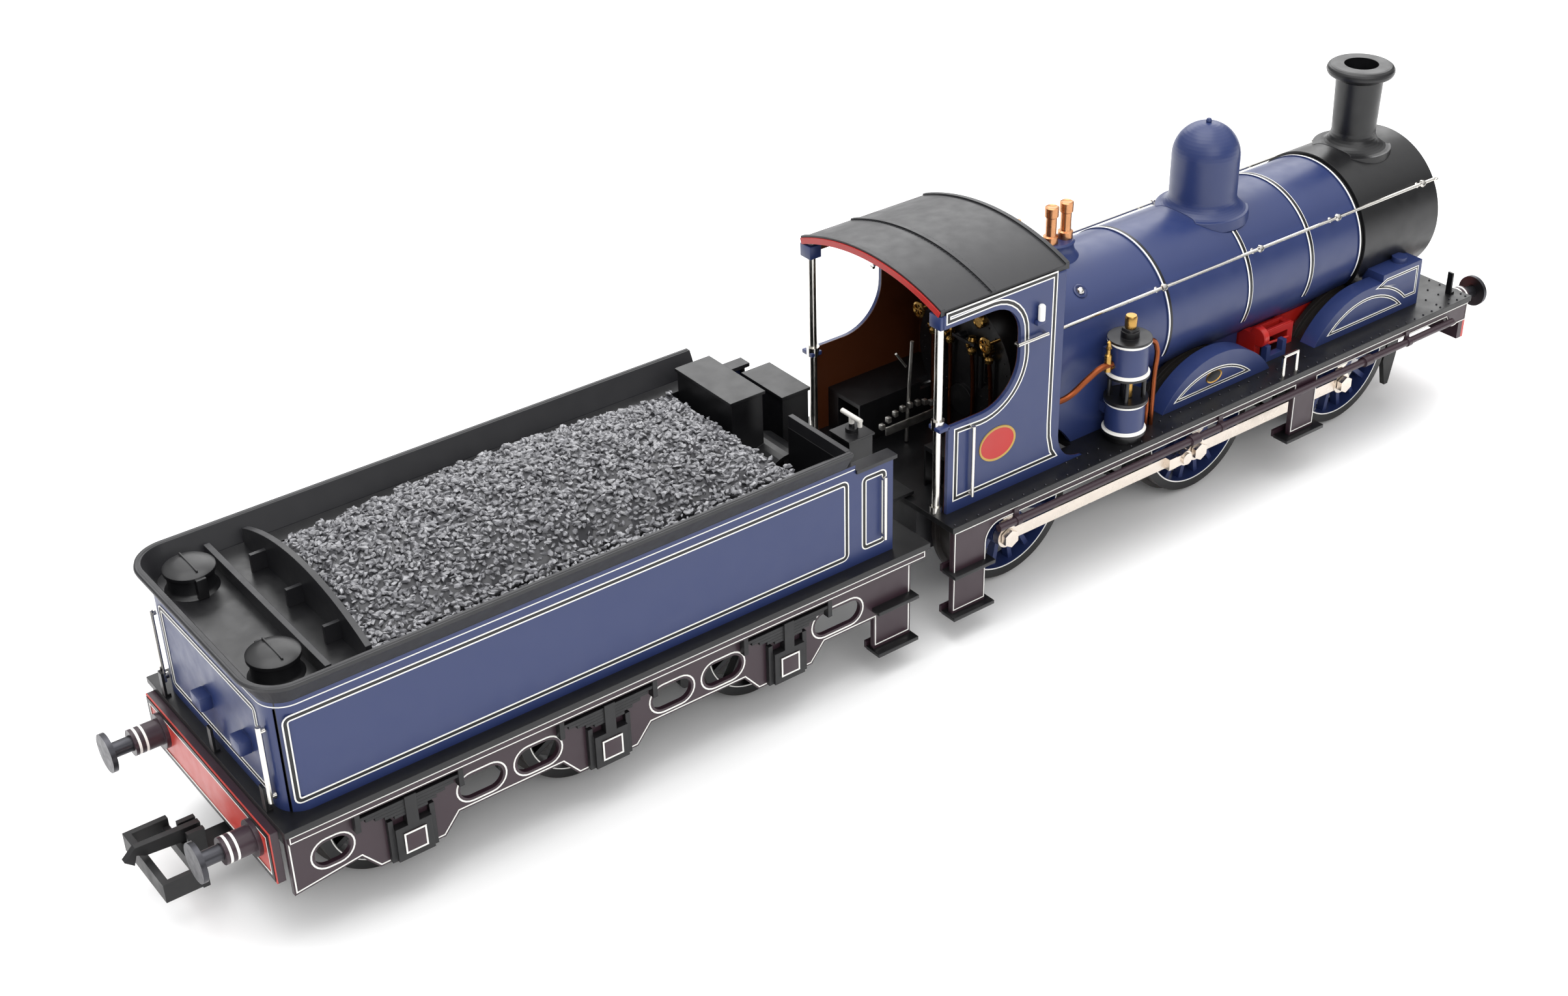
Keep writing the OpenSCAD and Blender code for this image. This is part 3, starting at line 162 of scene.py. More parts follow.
def mixColour(tree, factor, a, b):
    node = addNode(tree, "Mix", data_type="RGBA")
    for index, value in ((0, factor), (6, a), (7, b)):
        if isinstance(value, bpy.types.NodeSocket):
            tree.links.new(value, node.inputs[index])
        else:
            node.inputs[index].default_value = value
    return node.outputs[2]


def drift(tree, code, change, sizeMm=5.0):
    base = toLinear(code)
    light = tuple(min(1, c * (1 + change)) for c in base[:3]) + (1,)
    dark = tuple(c * (1 - change) for c in base[:3]) + (1,)
    return mixColour(tree, fineNoise(tree, sizeMm).outputs["Fac"], dark, light)


def surfaceBump(tree, sizeMm, depthMm, strength=0.3, rounding=0.1):
    edge = addNode(tree, "Bevel", {"Radius": rounding * mm}, samples=4)
    noise = fineNoise(tree, sizeMm, 4.0)
    return addNode(tree, "Bump", {"Height": noise.outputs["Fac"], "Strength": strength, "Distance": depthMm * mm,
                                  "Normal": edge.outputs["Normal"]}).outputs["Normal"]


def roughDrift(tree, low, high, sizeMm=2.0):
    noise = fineNoise(tree, sizeMm)
    return addNode(tree, "MapRange", {"Value": noise.outputs["Fac"], "From Min": 0.3, "From Max": 0.7,
                                      "To Min": low, "To Max": high}).outputs["Result"]


def lacquer(name, code, low=0.28, high=0.4, change=0.06, peel=0.25):
    # sprayed cellulose over moulded ABS: an even colour, a soft gloss and a faint orange peel
    material, tree = startMaterial(name)
    finishMaterial(tree, addNode(tree, "BsdfPrincipled", {
        "Base Color": drift(tree, code, change), "Roughness": roughDrift(tree, low, high),
        "Normal": surfaceBump(tree, 0.25, 0.004, peel), "IOR": 1.5}))
    return material


def platedMetal(name, code, low=0.16, high=0.3, brushed=0.0):
    # drawn wire, turned and etched sheet: polished metal with fine handling marks
    material, tree = startMaterial(name)
    place = addNode(tree, "TexCoord")
    stretch = addNode(tree, "Mapping", {"Vector": place.outputs["Object"], "Scale": (0.06, 1, 1)})
    marks = addNode(tree, "TexNoise", {"Vector": stretch.outputs["Vector"], "Scale": 1 / (0.12 * mm), "Detail": 4.0})
    bump = addNode(tree, "Bump", {"Height": marks.outputs["Fac"], "Strength": 0.06 + brushed, "Distance": 0.006 * mm})
    finishMaterial(tree, addNode(tree, "BsdfPrincipled", {
        "Base Color": drift(tree, code, 0.07, 1.5), "Metallic": 1.0, "Roughness": roughDrift(tree, low, high, 0.8),
        "Normal": bump.outputs["Normal"]}))
    return material


def insideMask(tree, place, half, rear):  # 1 where |y| is less than half and x is ahead of rear, in mm
    parts = addNode(tree, "SeparateXYZ", {"Vector": place.outputs["Object"]})
    side = addNode(tree, "Math", {0: parts.outputs["Y"]}, operation="ABSOLUTE")
    narrow = addNode(tree, "Math", {0: side.outputs[0], 1: half * mm}, operation="LESS_THAN")
    ahead = addNode(tree, "Math", {0: parts.outputs["X"], 1: axleX + rear * mm}, operation="GREATER_THAN")
    return addNode(tree, "Math", {0: narrow.outputs[0], 1: ahead.outputs[0]}, operation="MULTIPLY").outputs[0]


def bandedPaint(name, axis, stops, low=0.28, high=0.4, inside=None):
    # masked and sprayed bands: each stop is (where the colour begins in mm, colour); the inside can be black
    material, tree = startMaterial(name)
    place = addNode(tree, "TexCoord")
    parts = addNode(tree, "SeparateXYZ", {"Vector": place.outputs["Object"]})
    shift = axleX if axis == "X" else 0
    first, last = stops[0][0], stops[-1][0] + 1
    across = addNode(tree, "MapRange", {
        "Value": parts.outputs[axis], "From Min": shift + first * mm, "From Max": shift + last * mm})
    ramp = addNode(tree, "ValToRGB", {"Fac": across.outputs["Result"]})
    ramp.color_ramp.interpolation = "CONSTANT"
    steps = ramp.color_ramp.elements
    for i, (where, code) in enumerate(stops):
        spot = (where - first) / (last - first)
        step = steps[i] if i < 2 else steps.new(spot)
        step.position = spot
        step.color = toLinear(code)
    colour = ramp.outputs["Color"]
    if inside:
        colour = mixColour(tree, insideMask(tree, place, *inside), colour, toLinear(colours["black"]))
    finishMaterial(tree, addNode(tree, "BsdfPrincipled", {
        "Base Color": colour, "Roughness": roughDrift(tree, low, high),
        "Normal": surfaceBump(tree, 0.25, 0.004, 0.2), "IOR": 1.5}))
    return material


def wheelPaint(name, centre, rings, low=0.3, high=0.42):
    # paint by distance from the axle: centre (x, z) in mm, rings of (from what radius in mm, colour)
    material, tree = startMaterial(name)
    place = addNode(tree, "TexCoord")
    hub = (axleX + centre[0] * mm, 0, centre[1] * mm)
    moved = addNode(tree, "VectorMath", {0: place.outputs["Object"], 1: hub}, operation="SUBTRACT")
    flat = addNode(tree, "VectorMath", {0: moved.outputs["Vector"], 1: (1, 0, 1)}, operation="MULTIPLY")
    radius = addNode(tree, "VectorMath", {0: flat.outputs["Vector"]}, operation="LENGTH")
    last = rings[-1][0] + 1
    across = addNode(tree, "MapRange", {"Value": radius.outputs["Value"], "From Min": 0.0, "From Max": last * mm})
    ramp = addNode(tree, "ValToRGB", {"Fac": across.outputs["Result"]})
    ramp.color_ramp.interpolation = "CONSTANT"
    steps = ramp.color_ramp.elements
    for i, (where, code) in enumerate(rings):
        step = steps[i] if i < 2 else steps.new(where / last)
        step.position = where / last
        step.color = toLinear(code)
    finishMaterial(tree, addNode(tree, "BsdfPrincipled", {
        "Base Color": ramp.outputs["Color"], "Roughness": roughDrift(tree, low, high),
        "Normal": surfaceBump(tree, 0.3, 0.004, 0.2), "IOR": 1.5}))
    return material


colours = {
    "blue": "#273461", "black": "#111113", "plum": "#33232b", "roof": "#1d1d20", "red": "#b3201a", "tan": "#4a2410",
    "white": "#f2f1ec", "nickel": "#d9d6d0", "rod": "#efe4d8", "brass": "#b08a4c", "copper": "#8a4a2c",
    "steel": "#8d8f93", "beam": "#bf4038", "gold": "#b39243",
}
blueLacquer = lacquer("blueLacquer", colours["blue"], 0.3, 0.4)
blackLacquer = lacquer("blackLacquer", colours["black"], 0.3, 0.42)
satinBlack = lacquer("satinBlackMoulding", colours["black"], 0.42, 0.56, 0.1, 0.4)
roofLacquer = lacquer("roofLacquer", colours["roof"], 0.34, 0.46)
plumLacquer = lacquer("plumLacquer", colours["plum"], 0.3, 0.42)
redLacquer = lacquer("redLacquer", colours["red"], 0.28, 0.4)
tanLacquer = lacquer("tanLacquer", colours["tan"], 0.35, 0.5)
whiteLine = lacquer("whiteLiningInk", colours["white"], 0.4, 0.5, 0.02, 0.05)
blackLine = lacquer("blackLiningInk", "#0b0b0d", 0.35, 0.45, 0.02, 0.05)
goldInk = lacquer("goldInk", colours["gold"], 0.3, 0.45, 0.05, 0.05)
nickelWire = platedMetal("nickelWire", colours["nickel"], 0.14, 0.26)
nickelRod = platedMetal("nickelPlatedRod", colours["rod"], 0.24, 0.36, 0.12)
brassTurning = platedMetal("brassTurning", colours["brass"], 0.2, 0.34)
valveBronze = platedMetal("valveBronze", "#c08a62", 0.22, 0.36)
copperWire = platedMetal("copperWire", colours["copper"], 0.26, 0.4)
steelDark = platedMetal("blackenedSteel", "#4a4a4e", 0.3, 0.45)
motorSteel = platedMetal("motorSteel", colours["steel"], 0.25, 0.4)
dieCast = lacquer("dieCastAlloy", "#2b2b2e", 0.4, 0.6, 0.15, 0.6)
boardGreen = lacquer("glassEpoxyBoard", "#1d5a35", 0.3, 0.4)
print("materials made")

# ---- Which finish each CAD node gets ----
blue, black, white, plum, red, beamRed = (colours[k] for k in ("blue", "black", "white", "plum", "red", "beam"))
bandStops = [(-31.0, blue)]
for bandX in (-29.6, -7.3, 8.1, 20.4, 30.6):
    bandStops += [(bandX - 0.5, white), (bandX - 0.33, "#0b0b0d"), (bandX + 0.17, white), (bandX + 0.36, blue)]
cabLayers = [(-14.2, blue), (-13.1, colours["tan"]), (13.1, blue)]
pumpLayers = [(17.0, black), (18.4, white), (18.75, blue), (22.2, white), (22.6, black), (26.6, white), (27.0, blue),
              (30.9, white), (31.35, black)]
rearBeamLayers = [(-146.2, plum), (-145.2, white), (-144.9, plum), (-144.4, white), (-144.1, plum), (-141.8, beamRed),
                  (-141.6, plum)]
frontBeamLayers = [(49.0, plum), (50.1, beamRed), (50.75, plum), (53.1, white), (53.4, plum), (53.9, white),
                   (54.2, plum)]
driverRings = [(0, blue), (8.62, white), (8.8, "#131315"), (9.9, "#2a2624")]
tenderRings = [(0, "#101012"), (6.7, white), (6.82, "#131315"), (7.9, "#2a2624")]
finishes = {
    "chassis_block": dieCast, "keeper_plate": satinBlack, "footplate": blackLacquer, "valances": plumLacquer,
    "boiler": blueLacquer, "boiler_bands": bandedPaint("linedBands", "X", bandStops), "smokebox": blackLacquer,
    "smokebox_door": blackLacquer, "chimney": blackLacquer, "dome": blueLacquer, "safety_valves": blueLacquer,
    "cab": bandedPaint("cabPaint", "Y", cabLayers), "cab_roof": roofLacquer, "cab_pillars": nickelWire,
    "backhead": blackLacquer, "cab_seats": blackLacquer, "splashers": blueLacquer, "boiler_handrails": nickelWire,
    "air_pump": bandedPaint("pumpPaint", "Z", pumpLayers), "pump_pipes": copperWire, "train_pipe": plumLacquer,
    "front_beam": bandedPaint("frontBeamPaint", "X", frontBeamLayers), "lamp_irons": blackLacquer,
    "inside_motion": redLacquer, "motor_can": motorSteel, "motor_shaft": brassTurning,
    "front_wheels": wheelPaint("frontWheelPaint", (30, 10.65), driverRings), "front_axle": nickelRod,
    "driving_wheels": wheelPaint("drivingWheelPaint", (0, 10.65), driverRings), "driving_axle": nickelRod,
    "rear_wheels": wheelPaint("rearWheelPaint", (-35, 10.65), driverRings), "rear_axle": nickelRod,
    "front_rod_right": nickelRod, "front_rod_left": nickelRod, "rear_rod_right": nickelRod, "rear_rod_left": nickelRod,
    "front_buffer_right": steelDark, "front_buffer_left": steelDark, "rear_buffer_right": steelDark,
    "rear_buffer_left": steelDark, "drawbar": satinBlack, "tender_chassis": satinBlack,
    "tender_footplate": blackLacquer, "tender_frames": plumLacquer, "axleboxes": satinBlack,
    "tender_tank": bandedPaint("tankPaint", "Z", [(16.0, blue), (30.95, "#1b1b1e")], inside=(14.55, -138.5)),
    "coping": roofLacquer,
    "coal": lacquer("coalBed", "#3a3a3d", 0.3, 0.5, 0.3, 1.0), "fillers": blackLacquer,
    "tender_beam": bandedPaint("rearBeamPaint", "X", rearBeamLayers), "tender_fittings": blackLacquer,
    "brake_standard": bandedPaint("brakePaint", "Z", [(16.0, black), (30.4, colours["nickel"])], 0.3, 0.4),
    "tender_weight": dieCast, "circuit_board": boardGreen, "fall_plate": satinBlack,
    "tender_wheelset_front": wheelPaint("tenderWheelPaintA", (-76.0, 8.65), tenderRings),
    "tender_wheelset_middle": wheelPaint("tenderWheelPaintB", (-101.2, 8.65), tenderRings),
    "tender_wheelset_rear": wheelPaint("tenderWheelPaintC", (-126.4, 8.65), tenderRings),
    "coupling_bar": satinBlack, "coupling_hook": satinBlack,
}
for nodeName, finish in finishes.items():
    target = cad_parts[nodeName]
    for slotRow in target.material_slots:
        slotRow.material = finish
print("CAD nodes painted")


# ---- Making pieces: everything in millimetres until newPiece ----
def newPiece(name, bm, body, materials, sharp=35):
    bmesh.ops.recalc_face_normals(bm, faces=bm.faces)
    bm.transform(toPart)
    mesh = bpy.data.meshes.new(name)
    bm.to_mesh(mesh)
    bm.free()
    for material in materials:
        mesh.materials.append(material)
    if sharp:
        mesh.shade_smooth()
        mesh.set_sharp_from_angle(angle=math.radians(sharp))
    piece = bpy.data.objects.new(name, mesh)
    scene.collection.objects.link(piece)
    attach(piece, body)
    return piece


def arcPoints(cx, cz, r, a0, a1, n):
    return [(cx + r * math.cos(math.radians(a0 + (a1 - a0) * i / n)), cz + r * math.sin(math.radians(a0 + (a1 - a0) * i / n)))
            for i in range(n + 1)]


def roundedOutline(u0, v0, u1, v1, r, n=4):
    return (arcPoints(u0 + r, v0 + r, r, 180, 270, n) + arcPoints(u1 - r, v0 + r, r, 270, 360, n)
            + arcPoints(u1 - r, v1 - r, r, 0, 90, n) + arcPoints(u0 + r, v1 - r, r, 90, 180, n))


def flatFace(bm, outline, plane, level):  # plane "y": outline is (x, z) at y = level; "x": (y, z); "z": (x, y)
    spots = {"y": lambda u, v: (u, level, v), "x": lambda u, v: (level, u, v), "z": lambda u, v: (u, v, level)}[plane]
    face = bm.faces.new([bm.verts.new(spots(u, v)) for u, v in outline])
    face.normal_update()
    return face


def lineRings(bm, outline, plane, level, widths):
    # insets an outline ring by ring; a material index of None leaves that ring out
    # and the rest keep that index, still flat; liningPiece thickens them afterwards
    face = flatFace(bm, outline, plane, level)
    kept = []
    for width, index in widths:
        rings = bmesh.ops.inset_individual(bm, faces=[face], thickness=width, depth=0, use_even_offset=True)["faces"]
        if index is None:
            bmesh.ops.delete(bm, geom=rings, context="FACES_ONLY")
        else:
            for ring in rings:
                ring.material_index = index
            kept += rings
    bmesh.ops.delete(bm, geom=[face], context="FACES_ONLY")
    bmesh.ops.delete(bm, geom=[v for v in bm.verts if not v.link_faces], context="VERTS")
    return kept


def thicken(bm, depth=0.05):
    bmesh.ops.solidify(bm, geom=bm.faces[:], thickness=depth)


def bothSides(bm):  # copies everything across the centre plane
    copy = bmesh.ops.duplicate(bm, geom=bm.verts[:] + bm.edges[:] + bm.faces[:])["geom"]
    bmesh.ops.scale(bm, vec=(1, -1, 1), verts=[v for v in copy if isinstance(v, bmesh.types.BMVert)])


def block(bm, x, y, z, bevel=0.0, index=0):
    middle = Vector(((x[0] + x[1]) / 2, (y[0] + y[1]) / 2, (z[0] + z[1]) / 2))
    size = Matrix.Diagonal((x[1] - x[0], y[1] - y[0], z[1] - z[0], 1))
    made = bmesh.ops.create_cube(bm, size=1, matrix=Matrix.Translation(middle) @ size)["verts"]
    faces = {f for v in made for f in v.link_faces}
    for f in faces:
        f.material_index = index
    if bevel:
        edges = {e for v in made for e in v.link_edges}
        bmesh.ops.bevel(bm, geom=list(edges), offset=bevel, offset_type="OFFSET", segments=2, profile=0.5,
                        affect="EDGES", material=-1)


def addTo(bm, part):  # moves a finished part into the piece that is being made
    mesh = bpy.data.meshes.new("part")
    part.to_mesh(mesh)
    part.free()
    bm.from_mesh(mesh)
    bpy.data.meshes.remove(mesh)


def turned(bm, profile, base, direction=(0, 0, 1), steps=32, index=0):
    # spins a profile of (radius, height) round an axis that starts at base
    part = bmesh.new()
    loop = [part.verts.new((r, 0, h)) for r, h in profile]
    edges = [part.edges.new(pair) for pair in zip(loop, loop[1:])]
    bmesh.ops.spin(part, geom=loop + edges, cent=(0, 0, 0), axis=(0, 0, 1), angle=math.tau, steps=steps, use_merge=True)
    bmesh.ops.remove_doubles(part, verts=part.verts[:], dist=0.0005)
    for face in part.faces:
        face.material_index = index
    turn = Vector((0, 0, 1)).rotation_difference(Vector(direction)).to_matrix().to_4x4()
    part.transform(Matrix.Translation(base) @ turn)
    addTo(bm, part)


def pipeRun(bm, points, radius, index=0, smooth=True, sides=3):
    curve = bpy.data.curves.new("pipe", "CURVE")
    curve.dimensions = "3D"
    curve.bevel_depth = radius
    curve.bevel_resolution = sides
    curve.use_fill_caps = True
    curve.resolution_u = 6
    if smooth:
        spline = curve.splines.new("BEZIER")
        spline.bezier_points.add(len(points) - 1)
        for knot, spot in zip(spline.bezier_points, points):
            knot.co = spot
            knot.handle_left_type = knot.handle_right_type = "AUTO"
    else:
        spline = curve.splines.new("POLY")
        spline.points.add(len(points) - 1)
        for knot, spot in zip(spline.points, points):
            knot.co = (*spot, 1)
    holder = bpy.data.objects.new("pipe", curve)
    scene.collection.objects.link(holder)
    mesh = bpy.data.meshes.new_from_object(holder.evaluated_get(bpy.context.evaluated_depsgraph_get()))
    for polygon in mesh.polygons:
        polygon.material_index = index
    bm.from_mesh(mesh)
    bpy.data.objects.remove(holder)
    bpy.data.curves.remove(curve)
    bpy.data.meshes.remove(mesh)


def rivetRow(bm, spots, radius, index=0):
    for spot in spots:
        bmesh.ops.create_icosphere(bm, subdivisions=1, radius=radius, matrix=Matrix.Translation(spot))


def spaced(start, end, step):
    count = max(1, round(abs(end - start) / step))
    return [start + (end - start) * i / count for i in range(count + 1)]


# ---- Lining on the bodywork ----
liningInk = {"proud": 0.03, "depth": 0.06, "double": [(0.17, 0), (0.4, 1), (0.17, 0)],
             "thin": [(0.12, 0), (0.2, 1), (0.12, 0)], "edged": [(0.55, 1), (0.18, 0)]}
linedFaces = {"tankRear": -139.4, "valance": -16.4, "frame": -16.0, "angle": -17.0, "splasher": -13.0,
              "rearBeam": -141.7, "frontBeam": 50.6}


def liningPiece(name, body, rows, sides=True):
    # rows of (outline, plane, level, widths); the ink stands a little proud of the paint
    bm = bmesh.new()
    for outline, plane, level, widths in rows:
        lineRings(bm, outline, plane, level, widths)
    thicken(bm, liningInk["depth"])
    if sides:
        bothSides(bm)
    return newPiece(name, bm, body, [whiteLine, blackLine], None)


ink, double, thin, edged = (liningInk[key] for key in ("proud", "double", "thin", "edged"))
tankSide = boxMm("tender_tank")[0][1]
liningPiece("tenderSideLining", "tender", [
    (roundedOutline(-138.3, 18.2, -65.6, 29.4, 0.9), "y", tankSide - ink, double),
    (roundedOutline(-63.7, 18.6, -59.9, 28.9, 0.8), "y", tankSide - ink, double),
])
liningPiece("tenderRearLining", "tender", [
    (roundedOutline(-11.9, 18.4, 11.9, 29.4, 0.8), "x", linedFaces["tankRear"] - ink, double)], False)

cabSide = boxMm("cab")[0][1]
cabOutline = [(-47.9, 18.5), (-30.1, 18.5), (-31.0, 19.9), (-31.5, 22.0), (-31.6, 24.0)]
cabOutline += [(-31.6, 45.1), (-49.5, 45.1), (-49.5, 43.5)]
cabOutline += arcPoints(-42.0, 38.4, 5.2, 90, 0, 8) + arcPoints(-43.6, 35.6, 6.9, 0, -90, 12) + [(-47.9, 28.9)]
liningPiece("cabSideLining", "locomotive", [(cabOutline, "y", cabSide - ink, double)])

valanceOutline = [(49.2, 16.15), (49.2, 13.2)] + arcPoints(46.4, 14.6, 1.6, 300, 240, 3)
valanceOutline += [(44.4, 15), (16.7, 15), (16.7, 7.6), (12, 7.6), (12, 15), (-42.2, 15)]
valanceOutline += arcPoints(-42.2, 12.6, 2.4, 90, 180, 8) + [(-44.6, 4.4), (-50, 4.4), (-50, 16.15)]
liningPiece("valanceLining", "locomotive", [
    (valanceOutline, "y", linedFaces["valance"] - ink, [(0.12, None), (0.13, 0)])])

tenderAxles = (-76.0, -101.2, -126.4)
frameLine = [(-140.3, 16.1), (-140.3, 7.6)]
for tenderX in reversed(tenderAxles):
    frameLine += [(tenderX - 6, 8.6), (tenderX - 4, 6.2), (tenderX + 4, 6.2), (tenderX + 6, 8.6)]
frameLine += [(-62.4, 8.6), (-62.4, 4.3), (-56.6, 4.3), (-56.6, 16.1)]
angleLine = [(-140.3, 16.1), (-140.3, 15.1), (-55.1, 15.1), (-55.1, 16.1)]
frameHoles = {"z": 11.2, "radius": 2.02, "pairs": (12.6, 3.6, 1.2), "ends": [(-135.4, 0.6), (-68.0, 2.0)]}


def stadium(cx, cz, half, r):
    return arcPoints(cx + half, cz, r, -90, 90, 12) + arcPoints(cx - half, cz, r, 90, 270, 12)


def frameLining(setup):
    back, apart, half = setup["pairs"]
    holes = [(x - back + side * apart, half) for x in tenderAxles[:2] for side in (-1, 1)] + setup["ends"]
    rows = [(frameLine, "y", linedFaces["frame"] - ink, [(0.2, None), (0.16, 0)])]
    rows += [(stadium(cx, setup["z"], long, setup["radius"]), "y", linedFaces["frame"] - ink, [(0.2, 0)])
             for cx, long in holes]
    rows += [(angleLine, "y", linedFaces["angle"] - ink, [(0.08, None), (0.12, 0)])]
    liningPiece("tenderFrameLining", "tender", rows)


frameLining(frameHoles)

splashOutline = arcPoints(-1.0, 10.0, 11.0, 180 - 47.2, 47.2, 18)
frontSplash = arcPoints(30.0, 10.65, 10.9, 180 - 42.6, 42.6, 18)
sandPanel = [(41.0, 18.8), (40.9, 23.3), (34.0, 23.3)] + arcPoints(30.0, 10.65, 11.75, 82, 44, 10)
liningPiece("splasherLining", "locomotive", [
    (outline, "y", linedFaces["splasher"] - ink, thin) for outline in (splashOutline, frontSplash, sandPanel)])
beamOutline = [(-15.2, 9.8), (15.2, 9.8), (15.2, 16.0), (-15.2, 16.0)]
liningPiece("rearBeamLining", "tender", [(beamOutline, "x", linedFaces["rearBeam"] - ink, edged)], False)
liningPiece("frontBeamLining", "locomotive", [(beamOutline, "x", linedFaces["frontBeam"] + ink, edged)], False)
print("lining drawn")

tankLine = {"z": 30.35, "height": 0.14, "depth": 0.05, "front": -64.7, "half": 15.33,
            "cornerX": -136.4, "cornerY": 12.3, "corner": 3.03}


def topLine(name, body, setup):
    # the white line under the coping, round the tank's rear corners
    path = [(setup["front"], -setup["half"])]
    path += arcPoints(setup["cornerX"], -setup["cornerY"], setup["corner"], -90, -180, 8)
    path += arcPoints(setup["cornerX"], setup["cornerY"], setup["corner"], 180, 90, 8)
    path += [(setup["front"], setup["half"])]
    bm = bmesh.new()
    verts = [bm.verts.new((x, y, setup["z"])) for x, y in path]
    edges = [bm.edges.new(pair) for pair in zip(verts, verts[1:])]
    raised = bmesh.ops.extrude_edge_only(bm, edges=edges)["geom"]
    upper = [v for v in raised if isinstance(v, bmesh.types.BMVert)]
    bmesh.ops.translate(bm, vec=(0, 0, setup["height"]), verts=upper)
    thicken(bm, setup["depth"])
    newPiece(name, bm, body, [whiteLine], 40)


topLine("tankTopLine", "tender", tankLine)

# ---- Coal: crushed lumps heaped over the moulded bed ----
coalHeap = {"pitch": 0.56, "jitter": 0.28, "lift": (-0.05, 0.35), "bedZ": 25, "above": 80,
            "ledge": (-13.9, -12.2), "ledgeZ": 31.25, "ledgeSlope": 0.5, "ledgeJitter": 0.3,
            "chip": (0.55, 1.0), "flat": (0.35, 0.6), "radius": 0.62, "spin": 6.3, "lean": 0.9, "rough": 0.09,
            "batch": 200, "seed": 7}


def coalSpots(setup):
    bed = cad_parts["coal"]
    verts = [Vector(v.co) for v in bed.data.vertices]
    tree = BVHTree.FromPolygons(verts, [tuple(p.vertices) for p in bed.data.polygons])
    low, high = boxMm("coal")
    jitter, spill = setup["jitter"], setup["ledgeJitter"]
    spots = []
    for x in spaced(low[0], high[0], setup["pitch"]):
        for y in spaced(low[1], high[1], setup["pitch"]):
            px, py = x + random.uniform(-jitter, jitter), y + random.uniform(-jitter, jitter)
            hit = tree.ray_cast(toPart @ Vector((px, py, setup["above"])), Vector((0, 0, -1)))[0]
            if hit and hit.z > setup["bedZ"] * mm:
                spots.append((px, py, hit.z / mm + random.uniform(*setup["lift"])))
        for y in spaced(*setup["ledge"], setup["pitch"]):  # chips that have spilled on to the near ledge
            level = setup["ledgeZ"] + (y - setup["ledge"][0]) * setup["ledgeSlope"]
            spots.append((x + random.uniform(-spill, spill), y, level + random.uniform(0, spill)))
    return spots


def heapCoal(setup):
    random.seed(setup["seed"])
    bm, heap = bmesh.new(), bmesh.new()
    for count, spot in enumerate(coalSpots(setup)):
        if count % setup["batch"] == setup["batch"] - 1:  # small batches keep the mesh operators quick
            addTo(heap, bm)
            bm = bmesh.new()
        size = random.uniform(*setup["chip"])
        turn = Matrix.Rotation(random.uniform(0, setup["spin"]), 4, "Z")
        turn = turn @ Matrix.Rotation(random.uniform(-setup["lean"], setup["lean"]), 4, "X")
        flats = [size * random.uniform(*setup["flat"]) for _ in range(2)]
        shape = Matrix.Diagonal((size, *flats, 1))
        place = Matrix.Translation(spot) @ turn @ shape
        made = bmesh.ops.create_icosphere(bm, subdivisions=1, radius=setup["radius"], matrix=place)["verts"]
        for v in made:
            v.co += Vector([random.uniform(-setup["rough"], setup["rough"]) for _ in range(3)])
    addTo(heap, bm)
    return newPiece("coalLumps", heap, "tender", [crushedCoal], None)


def makeCoal():
    # crushed anthracite in clear lacquer: black glassy facets that sparkle under the lamps, with painted glints in the
    # base colour, dark grey lightening to pale grey towards the edge of each Voronoi cell, so each lump looks a little
    # different
    material, tree = startMaterial("crushedCoal")
    place = addNode(tree, "TexCoord")
    glintCells = addNode(tree, "TexVoronoi", {"Vector": place.outputs["Object"], "Scale": 1 / (0.7 * mm)})
    # painted glints: the base colour runs from dark grey at each cell's middle to pale grey at its edges, standing in
    # for highlights on the facets
    glintTone = mixColour(tree, glintCells.outputs["Distance"], toLinear("#3e3e42"), toLinear("#929296"))
    noise = fineNoise(tree, 0.25, 3.0)
    bump = addNode(tree, "Bump", {"Height": noise.outputs["Fac"], "Strength": 0.6, "Distance": 0.05 * mm})
    finishMaterial(tree, addNode(tree, "BsdfPrincipled", {
        "Base Color": glintTone, "Roughness": roughDrift(tree, 0.08, 0.3, 0.6), "Normal": bump.outputs["Normal"],
        "IOR": 1.7}))
    return material


crushedCoal = makeCoal()
heapCoal(coalHeap)
print("coal heaped")

# ---- Rivets ----
rivets = {"radius": 0.17, "pitch": 1.9, "deckZ": 17.02, "deckX": (-49.6, 48.8), "rows": (16.1, 13.9), "inner": 15,
          "innerX": (-29, 18), "pumpX": (-22, -12), "crossX": (43.4, 46.2, 48.9), "crossHalf": 15.2,
          "rims": ((0, 32, 148), (30, 62, 148)), "rimZ": 10.65, "rim": 12.05, "rimY": 12.75, "rimCount": 22}


def deckRivets(setup):
    bm = bmesh.new()
    clear, pump = setup["innerX"], setup["pumpX"]
    for y in setup["rows"]:
        rivetRow(bm, [(x, side * y, setup["deckZ"]) for x in spaced(*setup["deckX"], setup["pitch"])
                      for side in (-1, 1)
                      if y > setup["inner"] or clear[0] < x < clear[1] and not pump[0] < x < pump[1]],
                 setup["radius"])
    across = spaced(-setup["crossHalf"], setup["crossHalf"], setup["pitch"])
    for x in setup["crossX"]:
        rivetRow(bm, [(x, y, setup["deckZ"]) for y in across], setup["radius"])
    newPiece("deckRivets", bm, "locomotive", [steelDark])
    bm = bmesh.new()
    for centre, first, last in setup["rims"]:
        arc = arcPoints(centre, setup["rimZ"], setup["rim"], first, last, setup["rimCount"])
        rivetRow(bm, [(x, -setup["rimY"], z) for x, z in arc] + [(x, setup["rimY"], z) for x, z in arc],
                 setup["radius"])
    newPiece("splasherRivets", bm, "locomotive", [blueLacquer])


deckRivets(rivets)
print("rivets set")

# ---- Cab ----
cabPlate = {"centre": (-40.7, 24.3), "half": (3.0, 2.35), "level": -13.72, "rim": 0.28}
splasherPlate = {"centre": (-0.9, 19.7), "half": (1.5, 0.95), "level": -13.1, "rim": 0.2}
boilerZ = 27.9  # height of the boiler's centre line


